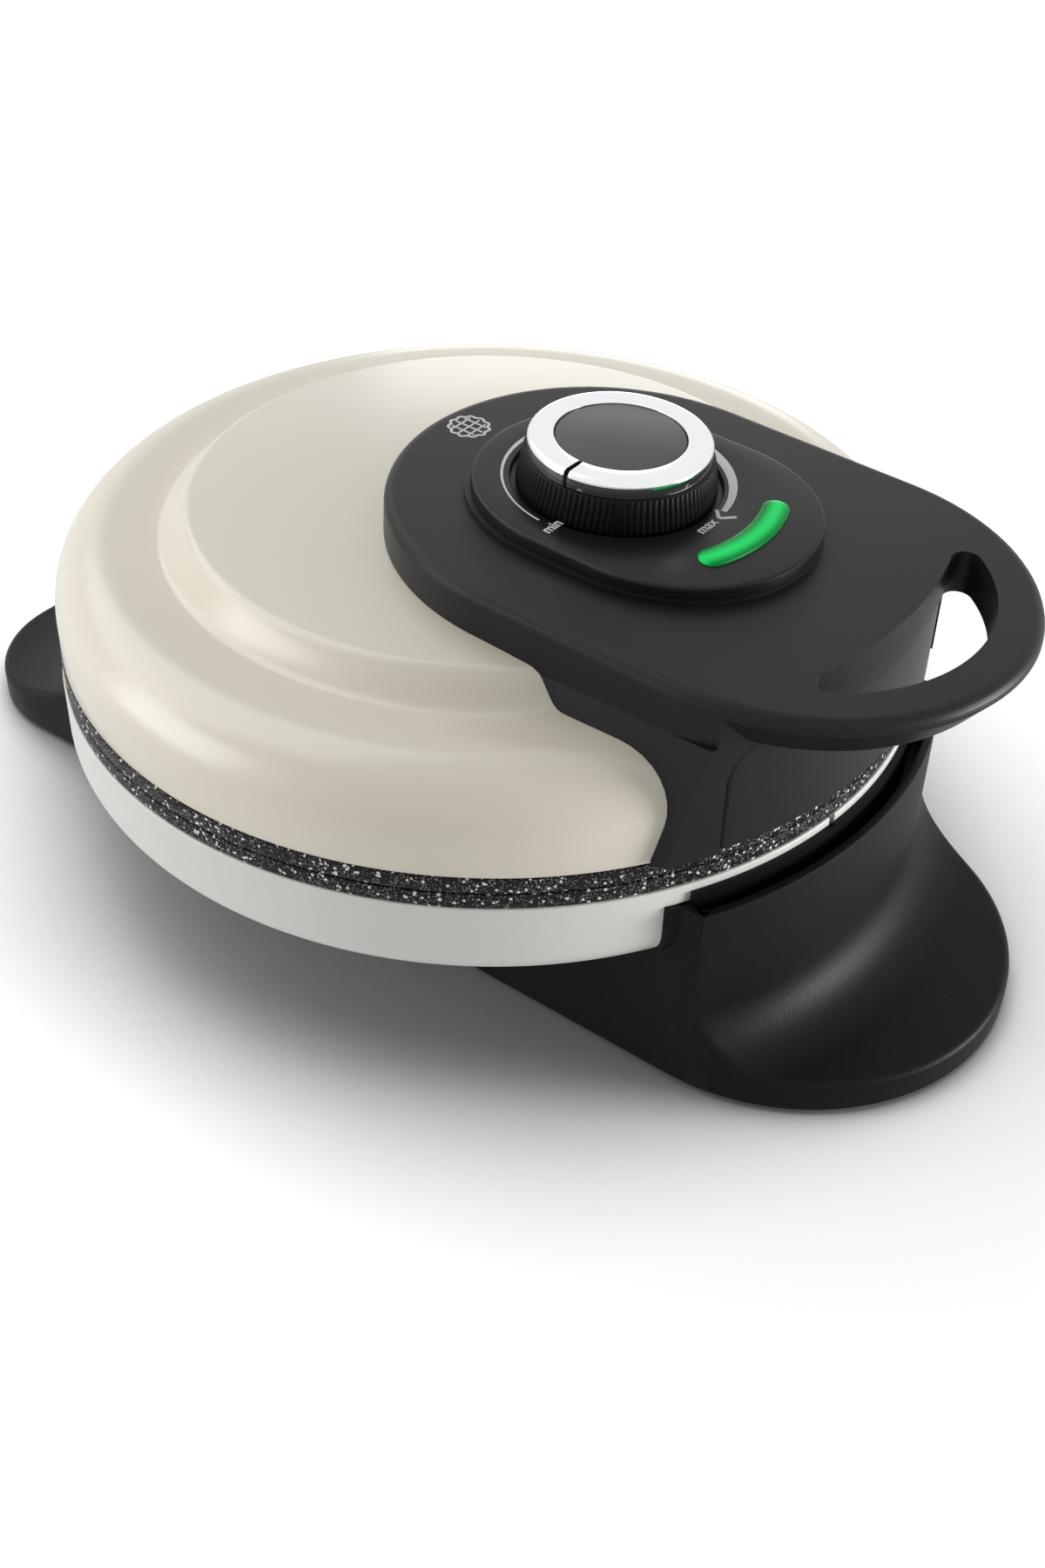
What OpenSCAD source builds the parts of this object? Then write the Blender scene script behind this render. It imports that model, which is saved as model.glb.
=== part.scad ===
// Round waffle maker with a tilting lid, a loop handle and a temperature dial.
// Frame: +Z up, front (handle side) towards -Y, hinge towards +Y, table at z = 0.
// Modules are written about the vertical axis of the round shells; place() moves
// that axis so that the origin lies under the middle of the whole footprint.

/* [Round shells] */
// Outer radius of the lower shell
shell_r = 110; // [100:1:120]
// How much smaller the lid's wall is than the shell's
lid_inset = 0.7; // [0.3:0.1:1]
// Height of the lower shell's rim above the table
rim_z = 60; // [56:0.5:70]
// Sheet thickness of both shells
sheet = 1; // [0.8:0.1:1.5]
// Depth of the lower shell
lower_shell_h = 22; // [18:0.5:26]
// Radius of the lower shell's bottom edge
lower_edge_r = 9; // [5:0.5:12]
// Straight height of the lid's wall
lid_wall_h = 9.5; // [6:0.5:14]
// Radius of the lid's shoulder
lid_shoulder_r = 14.5; // [10:0.5:18]
// Outer radius of the step on the lid
step_out_r = 83.5; // [78:0.5:88]
// Inner radius of the step on the lid
step_in_r = 74.5; // [66:0.5:76]
// Height of the step on the lid
step_h = 7.5; // [4:0.5:10]
// Rise of the crown inside the step
crown_h = 4.5; // [2:0.5:8]
// Width of the hem turned in at each shell's rim
hem_w = 4; // [3:0.5:6]
// Turn of the small notch in the lower rim away from the front
notch_turn = 6.7; // [0:0.1:20]

/* [Cooking plates] */
// Height of each plate's rim band
band_h = 4; // [3:0.25:5]
// Gap between the two closed plates
plate_gap = 0.3; // [0.2:0.05:0.6]
// Depth of each half of the batter cavity
cavity_d = 6; // [5:0.5:8]
// Width of the plates' rim outside the batter cavity
rim_w = 17; // [14:0.5:20]
// Thickness of the cast plate
cast_t = 3; // [2.5:0.25:4]
// Distance between waffle pegs
peg_pitch = 15; // [13:0.5:20]
// Width of a waffle peg
peg_w = 8; // [6:0.5:10]
// Height of a waffle peg
peg_h = 3.9; // [3:0.1:4.5]
// Distance of the drip groove from the shell's wall
groove_in = 8.5; // [6:0.5:11]
// Width of the drip groove
groove_w = 3; // [2:0.5:4]
// Depth of the drip groove
groove_d = 1.5; // [1:0.25:2]

/* [Heating] */
// Radius of the heater ring
heater_ring_r = 62; // [50:1:75]
// Radius of the heater tube
heater_tube_r = 3.3; // [2.5:0.1:4]
// Angle left open between the heater's ends
heater_open = 40; // [25:1:60]
// Height of the rib that carries the heater
heater_rib_h = 2.5; // [2:0.25:3.5]
// How far the reflector's flat stops inside the cavity's wall
reflector_in = 7; // [5:1:13]
// Depth of the reflector dish
reflector_h = 10.5; // [9.5:0.5:12]
// Thickness of the reflector sheet
reflector_t = 0.6; // [0.4:0.1:1]
// Radius on which the plate posts stand
post_ring_r = 40; // [36:1:48]
// Radius of a plate post
post_r = 4; // [3.5:0.25:5]

/* [Base] */
// Half width of the base
base_hw = 56; // [50:1:62]
// Reach of the base in front of the shell axis
front_reach = 152; // [146:1:160]
// Reach of the base behind the shell axis
rear_reach = 159; // [150:1:166]
// Corner radius of the rear foot
rear_corner_r = 35; // [25:1:45]
// Wall thickness of the base
base_wall = 2.4; // [2:0.1:3]
// Gap between the lower shell and the cup wall
moat_w = 4.3; // [3:0.1:6]
// Thickness of the cup wall at its rim
cup_wall = 2.2; // [1.6:0.1:3]
// Drop of the cup wall below the shell's rim
cup_drop = 4.8; // [2:0.2:8]
// Drop of the rear wall below the shell's rim
rear_drop = 14; // [10:1:20]
// Depth of the moat below the cup wall's rim
moat_d = 12; // [6:1:14]
// Thickness of the liner between the moat and the shell
liner_t = 1; // [0.8:0.1:1.4]
// How far the liner stops below the shell's rim
liner_drop = 2; // [1:0.5:5]
// Height of the front toe's edge
toe_h = 5.8; // [5:0.2:10]
// Fall of the toe's top from the flare to the rim
toe_fall = 1.7; // [1:0.1:3]
// Radius of the flare between the cup wall and the toe
toe_flare_r = 22; // [16:1:28]
// Height of the rear foot's edge
heel_h = 10; // [7:0.5:14]
// Distance of the rear sweep's axis behind the shell axis
heel_axis_y = 20; // [10:1:30]
// Height of the rear sweep
heel_sweep = 28; // [20:1:34]
// Height that the rubber feet lift the base
foot_lift = 1.5; // [1:0.25:3]
// Radius of a rubber foot
foot_r = 9; // [6:0.5:12]
// Depth of the foot's seat in the bottom cover
foot_seat = 1; // [0.5:0.1:1.2]
// Thickness of the bottom cover
cover_t = 1.8; // [1.4:0.1:1.8]

/* [Hinge] */
// Distance of the hinge axis behind the shell's wall
hinge_back = 8.5; // [7:0.5:11]
// Height of the hinge axis
hinge_z = 60; // [58:0.5:62]
// Radius of the hinge pin
pin_r = 2.5; // [2:0.1:3]
// Outer radius of the hinge ears
ear_r = 6.3; // [5:0.1:6.5]
// Half width of the lid's hinge block
block_hw = 13; // [10:0.5:16]
// Thickness of a hinge ear
ear_t = 8; // [5:0.5:9]
// Height to which the hinge block climbs the lid's wall
block_h = 9; // [6:0.5:9]

/* [Handle] */
// Distance of the dial axis in front of the shell axis
deck_y = 36; // [34:0.5:42]
// Height of the deck at the dial axis
deck_z = 112.1; // [110:0.1:114]
// Forward tilt of the deck
deck_tilt = 2.35; // [1.5:0.05:4]
// Radius of the deck's round ends
deck_r = 54.3; // [50:0.1:58]
// Distance between the centres of the deck's round ends
deck_len = 50.9; // [46:0.1:54]
// Radius of the deck's top edge
deck_edge_r = 3; // [2:0.1:5]
// Thickness of the loop
loop_t = 11; // [9:0.5:12]
// Inward slope of the loop's lower edge
loop_taper = 5.6; // [4:0.2:6]
// Width of the loop's bar
bar_w = 10.8; // [10:0.1:13]
// Rounding of the finger slot's ends
slot_round = 3.5; // [3:0.5:6]
// How far each cheek flares out on the lid's wall
cheek_flare = 7.5; // [0:0.5:10]
// Depth below the deck at which the cheeks start to flare
flare_drop = 13.5; // [12:0.5:20]
// Wall thickness of the handle cover
handle_wall = 2.5; // [2:0.1:3]
// Distance of the cover's front face from the lid's wall
front_gap = 3.2; // [3:0.1:4]
// Recess of the front panel
panel_recess = 1; // [0.6:0.1:1.2]
// Half width of the front panel
panel_hw = 50; // [44:1:51]
// Corner radius of the front panel
panel_corner_r = 10; // [6:1:14]
// Rim left round the strip under the loop's bar
strip_wall = 1.2; // [1:0.1:1.4]
// Gap between the cover's lower edge and the cooking plate
cheek_gap = 0.7; // [0.4:0.1:1.5]

/* [Control plate and dial] */
// Radius of the control plate's round ends
ctrl_r = 34; // [33:0.1:37]
// Distance between the centres of the control plate's round ends
ctrl_len = 15.7; // [12:0.1:18]
// Height of the control plate above the deck
ctrl_h = 4.1; // [4:0.1:5]
// Thickness of the control plate
ctrl_t = 2.2; // [1.8:0.1:2.6]
// Width of the collar round the control plate
collar_w = 1.6; // [1:0.1:2.5]
// Height of the collar round the control plate
collar_h = 1.2; // [0.8:0.1:2]
// Radius of the dial's well
well_r = 25; // [24.5:0.1:26]
// Depth of the dial's well
well_d = 1.2; // [0.8:0.1:1.5]
// Radius of the dial's skirt at its foot
skirt_r = 23.8; // [22:0.1:24]
// Radius of the dial's skirt under the ring
skirt_top_r = 22.4; // [21.6:0.1:23]
// Height of the dial above the control plate
dial_h = 11.5; // [9:0.5:13]
// Radius of the chrome ring
ring_r = 21.7; // [20:0.1:22]
// Radius of the cap inside the ring
cap_r = 15.5; // [13:0.1:17]
// Height of the chrome ring
ring_h = 3; // [2:0.1:4]
// Width of the pointer notch
notch_w = 1.2; // [0.8:0.1:2]
// Depth of the knurls in the skirt
knurl_d = 0.5; // [0.3:0.1:0.8]
// Number of knurls
knurls = 72; // [48:1:90]
// Middle radius of the lamp
lamp_r = 37.7; // [36:0.1:39]
// Width of the lamp
lamp_w = 6.6; // [5:0.1:7]
// Half angle of the lamp's arc
lamp_half_angle = 21; // [15:1:24]
// Height of the lamp above the control plate
lamp_rise = 1; // [0.5:0.1:2]
// Radius of the dial's shaft
shaft_r = 3; // [2.5:0.1:3.5]

/* [Inside] */
// Width of the thermostat
thermostat_w = 26; // [22:1:30]
// Height of the thermostat
thermostat_h = 11; // [9:0.5:12]
// Radius of the thermostat's bushing
bushing_r = 4.8; // [4.4:0.1:6]
// Height of the nut on the bushing
nut_h = 3; // [2:0.25:3.5]
// Height of the cord's axis above the table
cord_z = 29; // [27:0.5:29]
// Length of the terminal block
terminal_l = 30; // [22:1:36]
// Inner radius of the cord bushing
cord_r = 3.7; // [3:0.1:4.5]
// Outer radius of the cord bushing
bushing_out_r = 6; // [5.5:0.1:7]

/* [Fasteners] */
// Radius of a screw's shank
screw_r = 1.5; // [1.2:0.1:2]
// Radius of a screw's head
screw_head_r = 3; // [2.6:0.1:3.6]
// Height of a screw's head
screw_head_h = 1.8; // [1.4:0.1:2]
// Depth of a screw's seat in the bottom cover
screw_sink = 0.8; // [0.4:0.1:1]

/* [Clearances] */
// Radial clearance of a turning fit
run_fit = 0.05; // [0.03:0.01:0.08]
// Clearance between parts that are fixed together
seat_fit = 0.1; // [0.05:0.01:0.15]
// Clearance between parts that move past each other
move_gap = 0.5; // [0.4:0.1:1]

/* [Hidden] */
$fn = 96;
fine = 180;
eps = 0.02;

shell_y = (front_reach - rear_reach) / 2;
lower_bottom_z = rim_z - lower_shell_h;
lid_r = shell_r - lid_inset;
cavity_r = shell_r - rim_w;
groove_r = shell_r - groove_in;
reflector_r = cavity_r - reflector_in;
hinge_y = shell_r + hinge_back;
part_z = rim_z + band_h;
lid_z = part_z + plate_gap + band_h;
lid_wall_top = lid_z + lid_wall_h;
annulus_z = lid_wall_top + lid_shoulder_r;
plateau_z = annulus_z + step_h;
band_r = lid_r + 0.3;
cup_r = shell_r + moat_w + cup_wall;
cup_z = rim_z - cup_drop;
rear_wall_z = rim_z - rear_drop;
front_r = lid_r + front_gap;
tray_z = lower_bottom_z - base_wall;
bar_inner_r = deck_r - bar_w;
slot_back_r = front_r + 0.6;
deck_axis_w = deck_y / cos(deck_tilt);
ring_z = ctrl_h + dial_h;
panel_top = deck_z - (front_r - deck_y + 1) * sin(deck_tilt) - loop_t;
block_screw_z = lid_z + 0.7 + block_h / 2;
block_screw_x = [[-block_hw / 2, 0], [block_hw / 2, 0]];

// Points of an arc about (cx, cy) from angle a0 to a1.
function arc(cx, cy, r, a0, a1, n = 8) =
    [for (i = [0 : n]) let (a = a0 + (a1 - a0) * i / n) [cx + r * cos(a), cy + r * sin(a)]];
// Crown of the lid: a shallow parabola that ends at the step.
function crown_z(r) = plateau_z + crown_h * (1 - pow(r / step_in_r, 2));
// Outer outline of the lid, grown by g, from the rim of its wall to its axis.
function lid_outline(g = 0) = concat(
    [[lid_r + g, lid_z - max(g, 0)]],
    arc(lid_r - lid_shoulder_r, lid_wall_top, lid_shoulder_r + g, 0, 90),
    [for (i = [0 : 8]) let (r = step_out_r - (step_out_r - step_in_r) * i / 8)
        [r + g * 0.6, annulus_z + g + step_h * (1 - cos(180 * i / 8)) / 2]],
    [for (i = [1 : 6]) let (r = step_in_r * (1 - i / 6)) [r, crown_z(r) + g]]);
// Outer outline of the lower shell, grown by g, from its rim to its axis.
function pan_outline(g = 0) = concat(
    [[shell_r + g, rim_z]],
    arc(shell_r - lower_edge_r, lower_bottom_z + lower_edge_r, lower_edge_r + g, 0, -90),
    [[0, lower_bottom_z - g]]);

// Moves the shell axis so that the origin lies under the middle of the footprint.
module place() { translate([0, shell_y, 0]) children(); }
// The tilted frame of the deck: its origin is where the dial axis meets the deck.
module on_deck() { translate([0, -deck_y, deck_z]) rotate([deck_tilt, 0, 0]) children(); }
// The same shapes on both sides of the middle plane.
module both_sides() { children(); mirror([1, 0, 0]) children(); }
// A ring with an inner radius.
module tube(r_out, r_in, h) {
    difference() {
        cylinder(r = r_out, h = h);
        translate([0, 0, -eps]) cylinder(r = r_in, h = h + 2 * eps);
    }
}

// ---------------------------------------------------------------- base

// Section of a foot's sweep from its axis outwards, drawn in by g: wall, quarter ellipse, edge.
function sweep_section(wall, rim, edge, fall, g) =
    let (low = g > 0 ? 0 : foot_lift)
    concat([[0, low], [rim + 8, low], [rim + 8, edge - g]],
        [for (i = [20 : -1 : 0]) let (t = 90 * i / 20)
            [wall + (rim - wall) * (1 - cos(t)), edge - g + fall * (1 - sin(t))]],
        [[0, edge - g + fall]]);

// A foot: the base's plan under a sweep that turns about an upright axis, drawn in by g.
module swept_foot(section, axis_y, g) {
    intersection() {
        linear_extrude(rim_z) base_plan(g);
        translate([0, axis_y, 0]) rotate_extrude($fn = fine) polygon(section);
    }
}
function toe_section(g) =
    let (low = g > 0 ? 0 : foot_lift, wall = cup_r - 0.4 - g, foot = toe_h + toe_fall - g)
    concat([[0, low], [front_reach + 8, low], [front_reach + 8, toe_h - g]],
        arc(wall + toe_flare_r, foot + toe_flare_r, toe_flare_r, 270, 180, 20),
        [[0, foot + toe_flare_r]]);
module toe(g = 0) { swept_foot(toe_section(g), 0, g); }
module heel(g = 0) {
    swept_foot(sweep_section(cup_r - 0.4 - g - heel_axis_y, rear_reach - heel_axis_y, heel_h, heel_sweep, g),
               heel_axis_y, g);
}

// Plan of the base, drawn in by g: a round toe, straight sides and a rear foot with corners.
module base_plan(g = 0) {
    translate([0, base_hw - front_reach]) circle(r = base_hw - g, $fn = fine);
    translate([g - base_hw, base_hw - front_reach])
        square([2 * (base_hw - g), front_reach - base_hw + rear_reach - rear_corner_r]);
    for (s = [-1, 1])
        translate([s * (base_hw - rear_corner_r), rear_reach - rear_corner_r])
            circle(r = rear_corner_r - g);
    translate([rear_corner_r - base_hw, rear_reach - rear_corner_r - 1])
        square([2 * (base_hw - rear_corner_r), rear_corner_r + 1 - g]);
}

// The block between the two feet that carries the shells.
module cradle(g, z0, z1) {
    translate([0, 0, z0]) intersection() {
        linear_extrude(z1 - z0) base_plan(g);
        cylinder(r = cup_r - (g > 0 ? cup_wall : 0), h = z1 - z0, $fn = fine);
    }
}

// The room that the lower shell takes, grown by g.
module pan_volume(g) {
    rotate_extrude($fn = fine) polygon(concat([[0, rim_z + 1], [shell_r + g, rim_z + 1]], pan_outline(g)));
}

// Places of the screws that hold the bottom cover.
cover_screw_spots = [for (x = [-1, 1], y = [-1, 1]) [x * (base_hw - base_wall - 5), y * 62]];
// Places of the rubber feet.
foot_spots = [for (x = [-1, 1], y = [38 - front_reach, rear_reach - 38]) [x * 32, y]];
// Places of the posts between the lower shell and its plate.
post_spots = [for (a = [30, 150, 270]) post_ring_r * [cos(a), sin(a)]];
// Places of the posts between the upper plate and the lid, clear of the thermostat.
upper_post_spots = [for (a = [90, 195, 345]) post_ring_r * [cos(a), sin(a)]];
module at_spots(spots) { for (p = spots) translate([p[0], p[1], 0]) children(); }

// Plan of a hinge ear, seen along the pin.
module ear_shape() {
    translate([hinge_y, hinge_z]) circle(r = ear_r);
    polygon([[hinge_y - ear_r, hinge_z], [shell_r + 1, 20], [hinge_y + 14, 20], [hinge_y + ear_r, hinge_z]]);
}
// Stands a shape drawn in (y, z) upright, from x0 to x1.
module across(x0, x1) {
    translate([x0, 0, 0]) rotate([90, 0, 90]) linear_extrude(x1 - x0) children();
}
// A rod along X, centred on the middle plane.
module cross_rod(r, l, y, z) {
    translate([-l / 2, y, z]) rotate([0, 90, 0]) cylinder(r = r, h = l);
}

// The moulded body: cradle, cup wall, swept toe and heel, and the hinge ears.
module base_housing() {
    color("#1d1d1f") difference() {
        union() {
            difference() {
                union() {
                    cradle(0, foot_lift, cup_z);
                    toe();
                    heel();
                }
                translate([-base_hw - 1, 0, rear_wall_z]) cube([2 * base_hw + 2, cup_r + 1, 30]);
                cradle(base_wall, foot_lift - 1, tray_z);
                difference() {
                    union() {
                        toe(base_wall);
                        heel(base_wall);
                    }
                    cylinder(r = cup_r, h = rim_z, $fn = fine);
                }
                translate([0, 0, foot_lift - 1])
                    linear_extrude(1 + cover_t + seat_fit) base_plan(base_wall);
                moat();
            }
            liner();
            both_sides() across(block_hw + move_gap, block_hw + move_gap + ear_t) ear_shape();
            at_spots(cover_screw_spots)
                translate([0, 0, foot_lift + cover_t]) cylinder(r = 4, h = tray_z - foot_lift - cover_t + 1);
        }
        pan_volume(seat_fit);
        cross_rod(pin_r + run_fit, 4 * base_hw, hinge_y, hinge_z);
        at_spots(cover_screw_spots) cylinder(r = screw_r + run_fit, h = 20);
        at_spots(post_spots) translate([0, 0, tray_z - 1]) cylinder(r = screw_r + 0.2, h = 8);
        translate([0, 0, tray_z - 1]) cylinder(r = 8, h = 8);
        translate([0, shell_r - 4, cord_z]) rotate([-90, 0, 0])
            cylinder(r = bushing_out_r + seat_fit, h = 30);
    }
}

// The gap between the front of the shell and the cup wall, closed by the cheeks.
module moat() {
    intersection() {
        translate([0, 0, cup_z - moat_d]) cylinder(r = cup_r - cup_wall, h = moat_d + 10, $fn = fine);
        translate([3 - base_hw, -cup_r - 1, 0]) cube([2 * (base_hw - 3), cup_r, rim_z]);
    }
}

// Thin wall round the front of the shell, on the moat's inner side.
module liner() {
    low = cup_z - moat_d - 1;
    intersection() {
        translate([0, 0, low]) tube(shell_r + seat_fit + liner_t, shell_r - 3, rim_z - liner_drop - low);
        translate([3 - base_hw, -cup_r, 0]) cube([2 * (base_hw - 3), cup_r - 90, rim_z]);
    }
}

// Flat cover under the base, with vent slots and seats for the feet.
module bottom_cover() {
    color("#202022") difference() {
        translate([0, 0, foot_lift]) linear_extrude(cover_t) difference() {
            base_plan(base_wall + seat_fit);
            for (i = [-3 : 3]) translate([i * 9 - 1.5, -48]) square([3, 26]);
            for (i = [-3 : 3]) translate([i * 9 - 1.5, 58]) square([3, 26]);
        }
        at_spots(foot_spots) cylinder(r = foot_r + seat_fit, h = foot_lift + foot_seat);
        at_spots(cover_screw_spots) {
            cylinder(r = screw_r + 0.2, h = 10);
            cylinder(r = screw_head_r + 0.2, h = foot_lift + screw_sink);
        }
    }
}

// Four rubber discs that the machine stands on.
module rubber_feet() {
    color("#2c2c2e") at_spots(foot_spots) cylinder(r = foot_r, h = foot_lift + foot_seat);
}

// A pan-head screw: its head ends at z = 0 and its shank runs up.
module screw(l) {
    translate([0, 0, -screw_head_h]) difference() {
        cylinder(r = screw_head_r, h = screw_head_h);
        for (a = [0, 90]) rotate([0, 0, a]) translate([-1.6, -0.3, -eps]) cube([3.2, 0.6, 0.9]);
    }
    translate([0, 0, -eps]) cylinder(r = screw_r, h = l);
}

// Screws that hold the bottom cover.
module cover_screws() {
    color("#8a8a8c") at_spots(cover_screw_spots) translate([0, 0, foot_lift + screw_sink]) screw(14);
}

// Reverses a list of points.
function back(v) = [for (i = [len(v) - 1 : -1 : 0]) v[i]];

// The painted steel pan of the lower half.
module lower_shell() {
    color("#e9e4d6") difference() {
        union() {
            rotate_extrude($fn = fine) polygon(concat(pan_outline(0), back(pan_outline(-sheet))));
            translate([0, 0, rim_z - sheet]) tube(shell_r - sheet / 2, shell_r - hem_w, sheet);
        }
        at_spots(post_spots) translate([0, 0, lower_bottom_z - 1]) cylinder(r = screw_r + 0.2, h = 4);
        translate([0, 0, lower_bottom_z - 1]) cylinder(r = 7, h = 4);
        rotate([0, 0, -notch_turn]) translate([-0.8, -shell_r - 1, rim_z - 4]) cube([1.6, 2, 5]);
    }
}

// ---------------------------------------------------------------- cooking plates

// A cast plate lying cavity up: z = 0 is its rim's upper face.
module cast_plate() {
    under = -cavity_d - cast_t;
    rotate_extrude($fn = fine) polygon([
        [0, under], [cavity_r + 2 + cast_t, under], [cavity_r + 2 + cast_t, -band_h],
        [band_r - 0.6, -band_h], [band_r, 0.6 - band_h], [band_r, -0.6], [band_r - 0.6, 0],
        [cavity_r + 2, 0], [cavity_r, -cavity_d], [0, -cavity_d]]);
    reach = cavity_r - peg_w * 0.75;
    cells = floor(reach / peg_pitch) + 1;
    for (i = [-cells : cells - 1], j = [-cells : cells - 1]) {
        p = peg_pitch * [i + 0.5, j + 0.5];
        if (norm(p) < reach)
            translate([p[0] - peg_w / 2, p[1] - peg_w / 2, -cavity_d - eps])
                cube([peg_w, peg_w, peg_h + eps]);
    }
    rib_w = heater_tube_r + 2.2;
    translate([0, 0, under - heater_rib_h]) difference() {
        tube(heater_ring_r + rib_w, heater_ring_r - rib_w, heater_rib_h + eps);
        translate([0, 0, heater_rib_h - heater_tube_r]) heater_ring(heater_tube_r + seat_fit, 360);
    }
}

// The heater's ring about z = 0, open towards +Y.
module heater_ring(r, turn) {
    rotate([0, 0, 90 + (360 - turn) / 2]) rotate_extrude(angle = turn)
        translate([heater_ring_r, 0]) circle(r = r, $fn = 32);
}
// Plan places of the heater's two ends.
heater_ends = [for (s = [-1, 1]) let (a = 90 + s * heater_open / 2) heater_ring_r * [cos(a), sin(a)]];

// A tubular heater under a plate whose underside is at z = 0: the ends turn down.
module heater() {
    translate([0, 0, -heater_tube_r]) heater_ring(heater_tube_r, 360 - heater_open);
    at_spots(heater_ends) translate([0, 0, -reflector_h - 3])
        cylinder(r = heater_tube_r - 1, h = reflector_h + 3 - heater_tube_r * 0.8, $fn = 32);
}

// A sheet dish under a plate whose underside is at z = 0.
module reflector(spots) {
    difference() {
        rotate_extrude() polygon([
            [0, -reflector_h], [reflector_r, -reflector_h], [cavity_r + 2, -1], [cavity_r + 2, 0],
            [cavity_r + 2 - reflector_t, 0], [cavity_r + 2 - reflector_t, -1],
            [reflector_r - reflector_t, reflector_t - reflector_h], [0, reflector_t - reflector_h]]);
        at_spots(spots) translate([0, 0, -reflector_h - 1]) cylinder(r = post_r + 0.1, h = 3);
        at_spots(heater_ends) translate([0, 0, -reflector_h - 1]) cylinder(r = heater_tube_r, h = 3);
        translate([0, 0, -reflector_h - 1]) cylinder(r = 6, h = 3);
    }
}

plate_under = part_z - cavity_d - cast_t;
upper_face_z = part_z + plate_gap;
plate_over = upper_face_z + cavity_d + cast_t;
// Turns a piece of the lower half over, to the height z of the upper half.
module turned_over(z) { translate([0, 0, z]) mirror([0, 0, 1]) children(); }

// Coated cast plate with the waffle pattern, lying on the lower shell.
module lower_plate() {
    color("#2f3133") translate([0, 0, part_z]) difference() {
        cast_plate();
        translate([0, 0, -groove_d]) tube(groove_r + groove_w / 2, groove_r - groove_w / 2, groove_d + 1);
    }
}
module lower_heater() { color("#7c7f84") translate([0, 0, plate_under]) heater(); }
module lower_reflector() { color("#c9ccd0") translate([0, 0, plate_under]) reflector(post_spots); }

// Three threaded posts that hold the plate to the shell.
module lower_posts() {
    low = lower_bottom_z + sheet;
    color("#b9bcc0") at_spots(post_spots) translate([0, 0, low]) difference() {
        cylinder(r = post_r, h = plate_under - low);
        translate([0, 0, -eps]) cylinder(r = screw_r + run_fit, h = 9);
    }
}
module shell_screws() { color("#8a8a8c") at_spots(post_spots) translate([0, 0, tray_z]) screw(10); }

// One-shot fuse held against the plate.
module thermal_fuse() {
    color("#d8d2c0") cross_rod(2.2, 14, 22, plate_under - 2.25);
    color("#b9bcc0") cross_rod(0.5, 34, 22, plate_under - 2.25);
}

// Ceramic block where the cord's wires meet the heater's.
module terminal_block() {
    l = terminal_l;
    color("#ece6da") translate([-l / 2, 14, foot_lift + cover_t]) difference() {
        cube([l, 16, 12]);
        for (i = [0 : 2]) translate([l * (i + 0.5) / 3, 0, 0]) {
            translate([0, 4, 5]) cylinder(r = 2, h = 8);
            translate([0, 12, 5]) cylinder(r = 2, h = 8);
        }
    }
}

// Soft bushing that the mains cord passes through.
module cord_bushing() {
    color("#242426") translate([0, cup_r - cup_wall - 1, cord_z]) rotate([-90, 0, 0])
        tube(bushing_out_r, cord_r, 13);
}

// Steel pin through the ears and the lid's block, with a flat head.
module hinge_pin() {
    half = block_hw + move_gap + ear_t;
    color("#b4b7bb") {
        cross_rod(pin_r, 2 * half + 2, hinge_y, hinge_z);
        both_sides() translate([half + 0.1, hinge_y, hinge_z]) rotate([0, 90, 0])
            cylinder(r = pin_r + 1.2, h = 1.4);
    }
}

// ---------------------------------------------------------------- lid

// The room that the lid takes, grown by g.
module lid_volume(g) {
    rotate_extrude($fn = fine) polygon(concat([[0, lid_z - max(g, 0)]], lid_outline(g)));
}
// Local height on the deck's frame of a world height z, at deck place w.
function deck_level(z, w) = (z - deck_z - w * sin(deck_tilt)) / cos(deck_tilt);
// Height of the lid's outer face under a deck place [x, w].
function lid_under(p) = crown_z(norm([p[0], p[1] - deck_y]));
handle_spots = [[-30, 18], [30, 18], [-32, -20], [32, -20]];

// The painted steel dome: wall, round shoulder, ring step and shallow crown.
module upper_shell() {
    color("#ece7da") difference() {
        union() {
            rotate_extrude($fn = fine) polygon(concat(lid_outline(0), back(lid_outline(-sheet))));
            translate([0, 0, lid_z]) tube(lid_r - sheet / 2, lid_r - hem_w, sheet);
        }
        on_deck() {
            translate([0, 0, -20]) cylinder(r = bushing_r + seat_fit, h = 20);
            at_spots(handle_spots) translate([0, 0, -20]) cylinder(r = screw_r + 0.4, h = 20);
        }
        at_spots(block_screw_x) translate([0, lid_r - 4, block_screw_z]) rotate([-90, 0, 0])
            cylinder(r = screw_r + 0.2, h = 8);
    }
}
module upper_plate() { color("#2f3133") turned_over(upper_face_z) cast_plate(); }
module upper_heater() { color("#7c7f84") turned_over(plate_over) heater(); }
module upper_reflector() { color("#c9ccd0") turned_over(plate_over) reflector(upper_post_spots); }

// Posts that hold the upper plate under the dome.
module upper_posts() {
    color("#b9bcc0") difference() {
        at_spots(upper_post_spots) translate([0, 0, plate_over]) cylinder(r = post_r, h = 40);
        difference() {
            translate([0, 0, plate_over]) cylinder(r = shell_r, h = 60);
            lid_volume(-sheet - 0.05);
        }
    }
}

// ---------------------------------------------------------------- handle

// Half section of the deck: flat top, round edge, side down to a depth.
function deck_section(depth, taper, g) = concat([[0, -g]],
    arc(deck_r - deck_edge_r, -deck_edge_r, deck_edge_r - g, 90, 0),
    [[deck_r - taper - g, -depth], [0, -depth]]);
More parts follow.
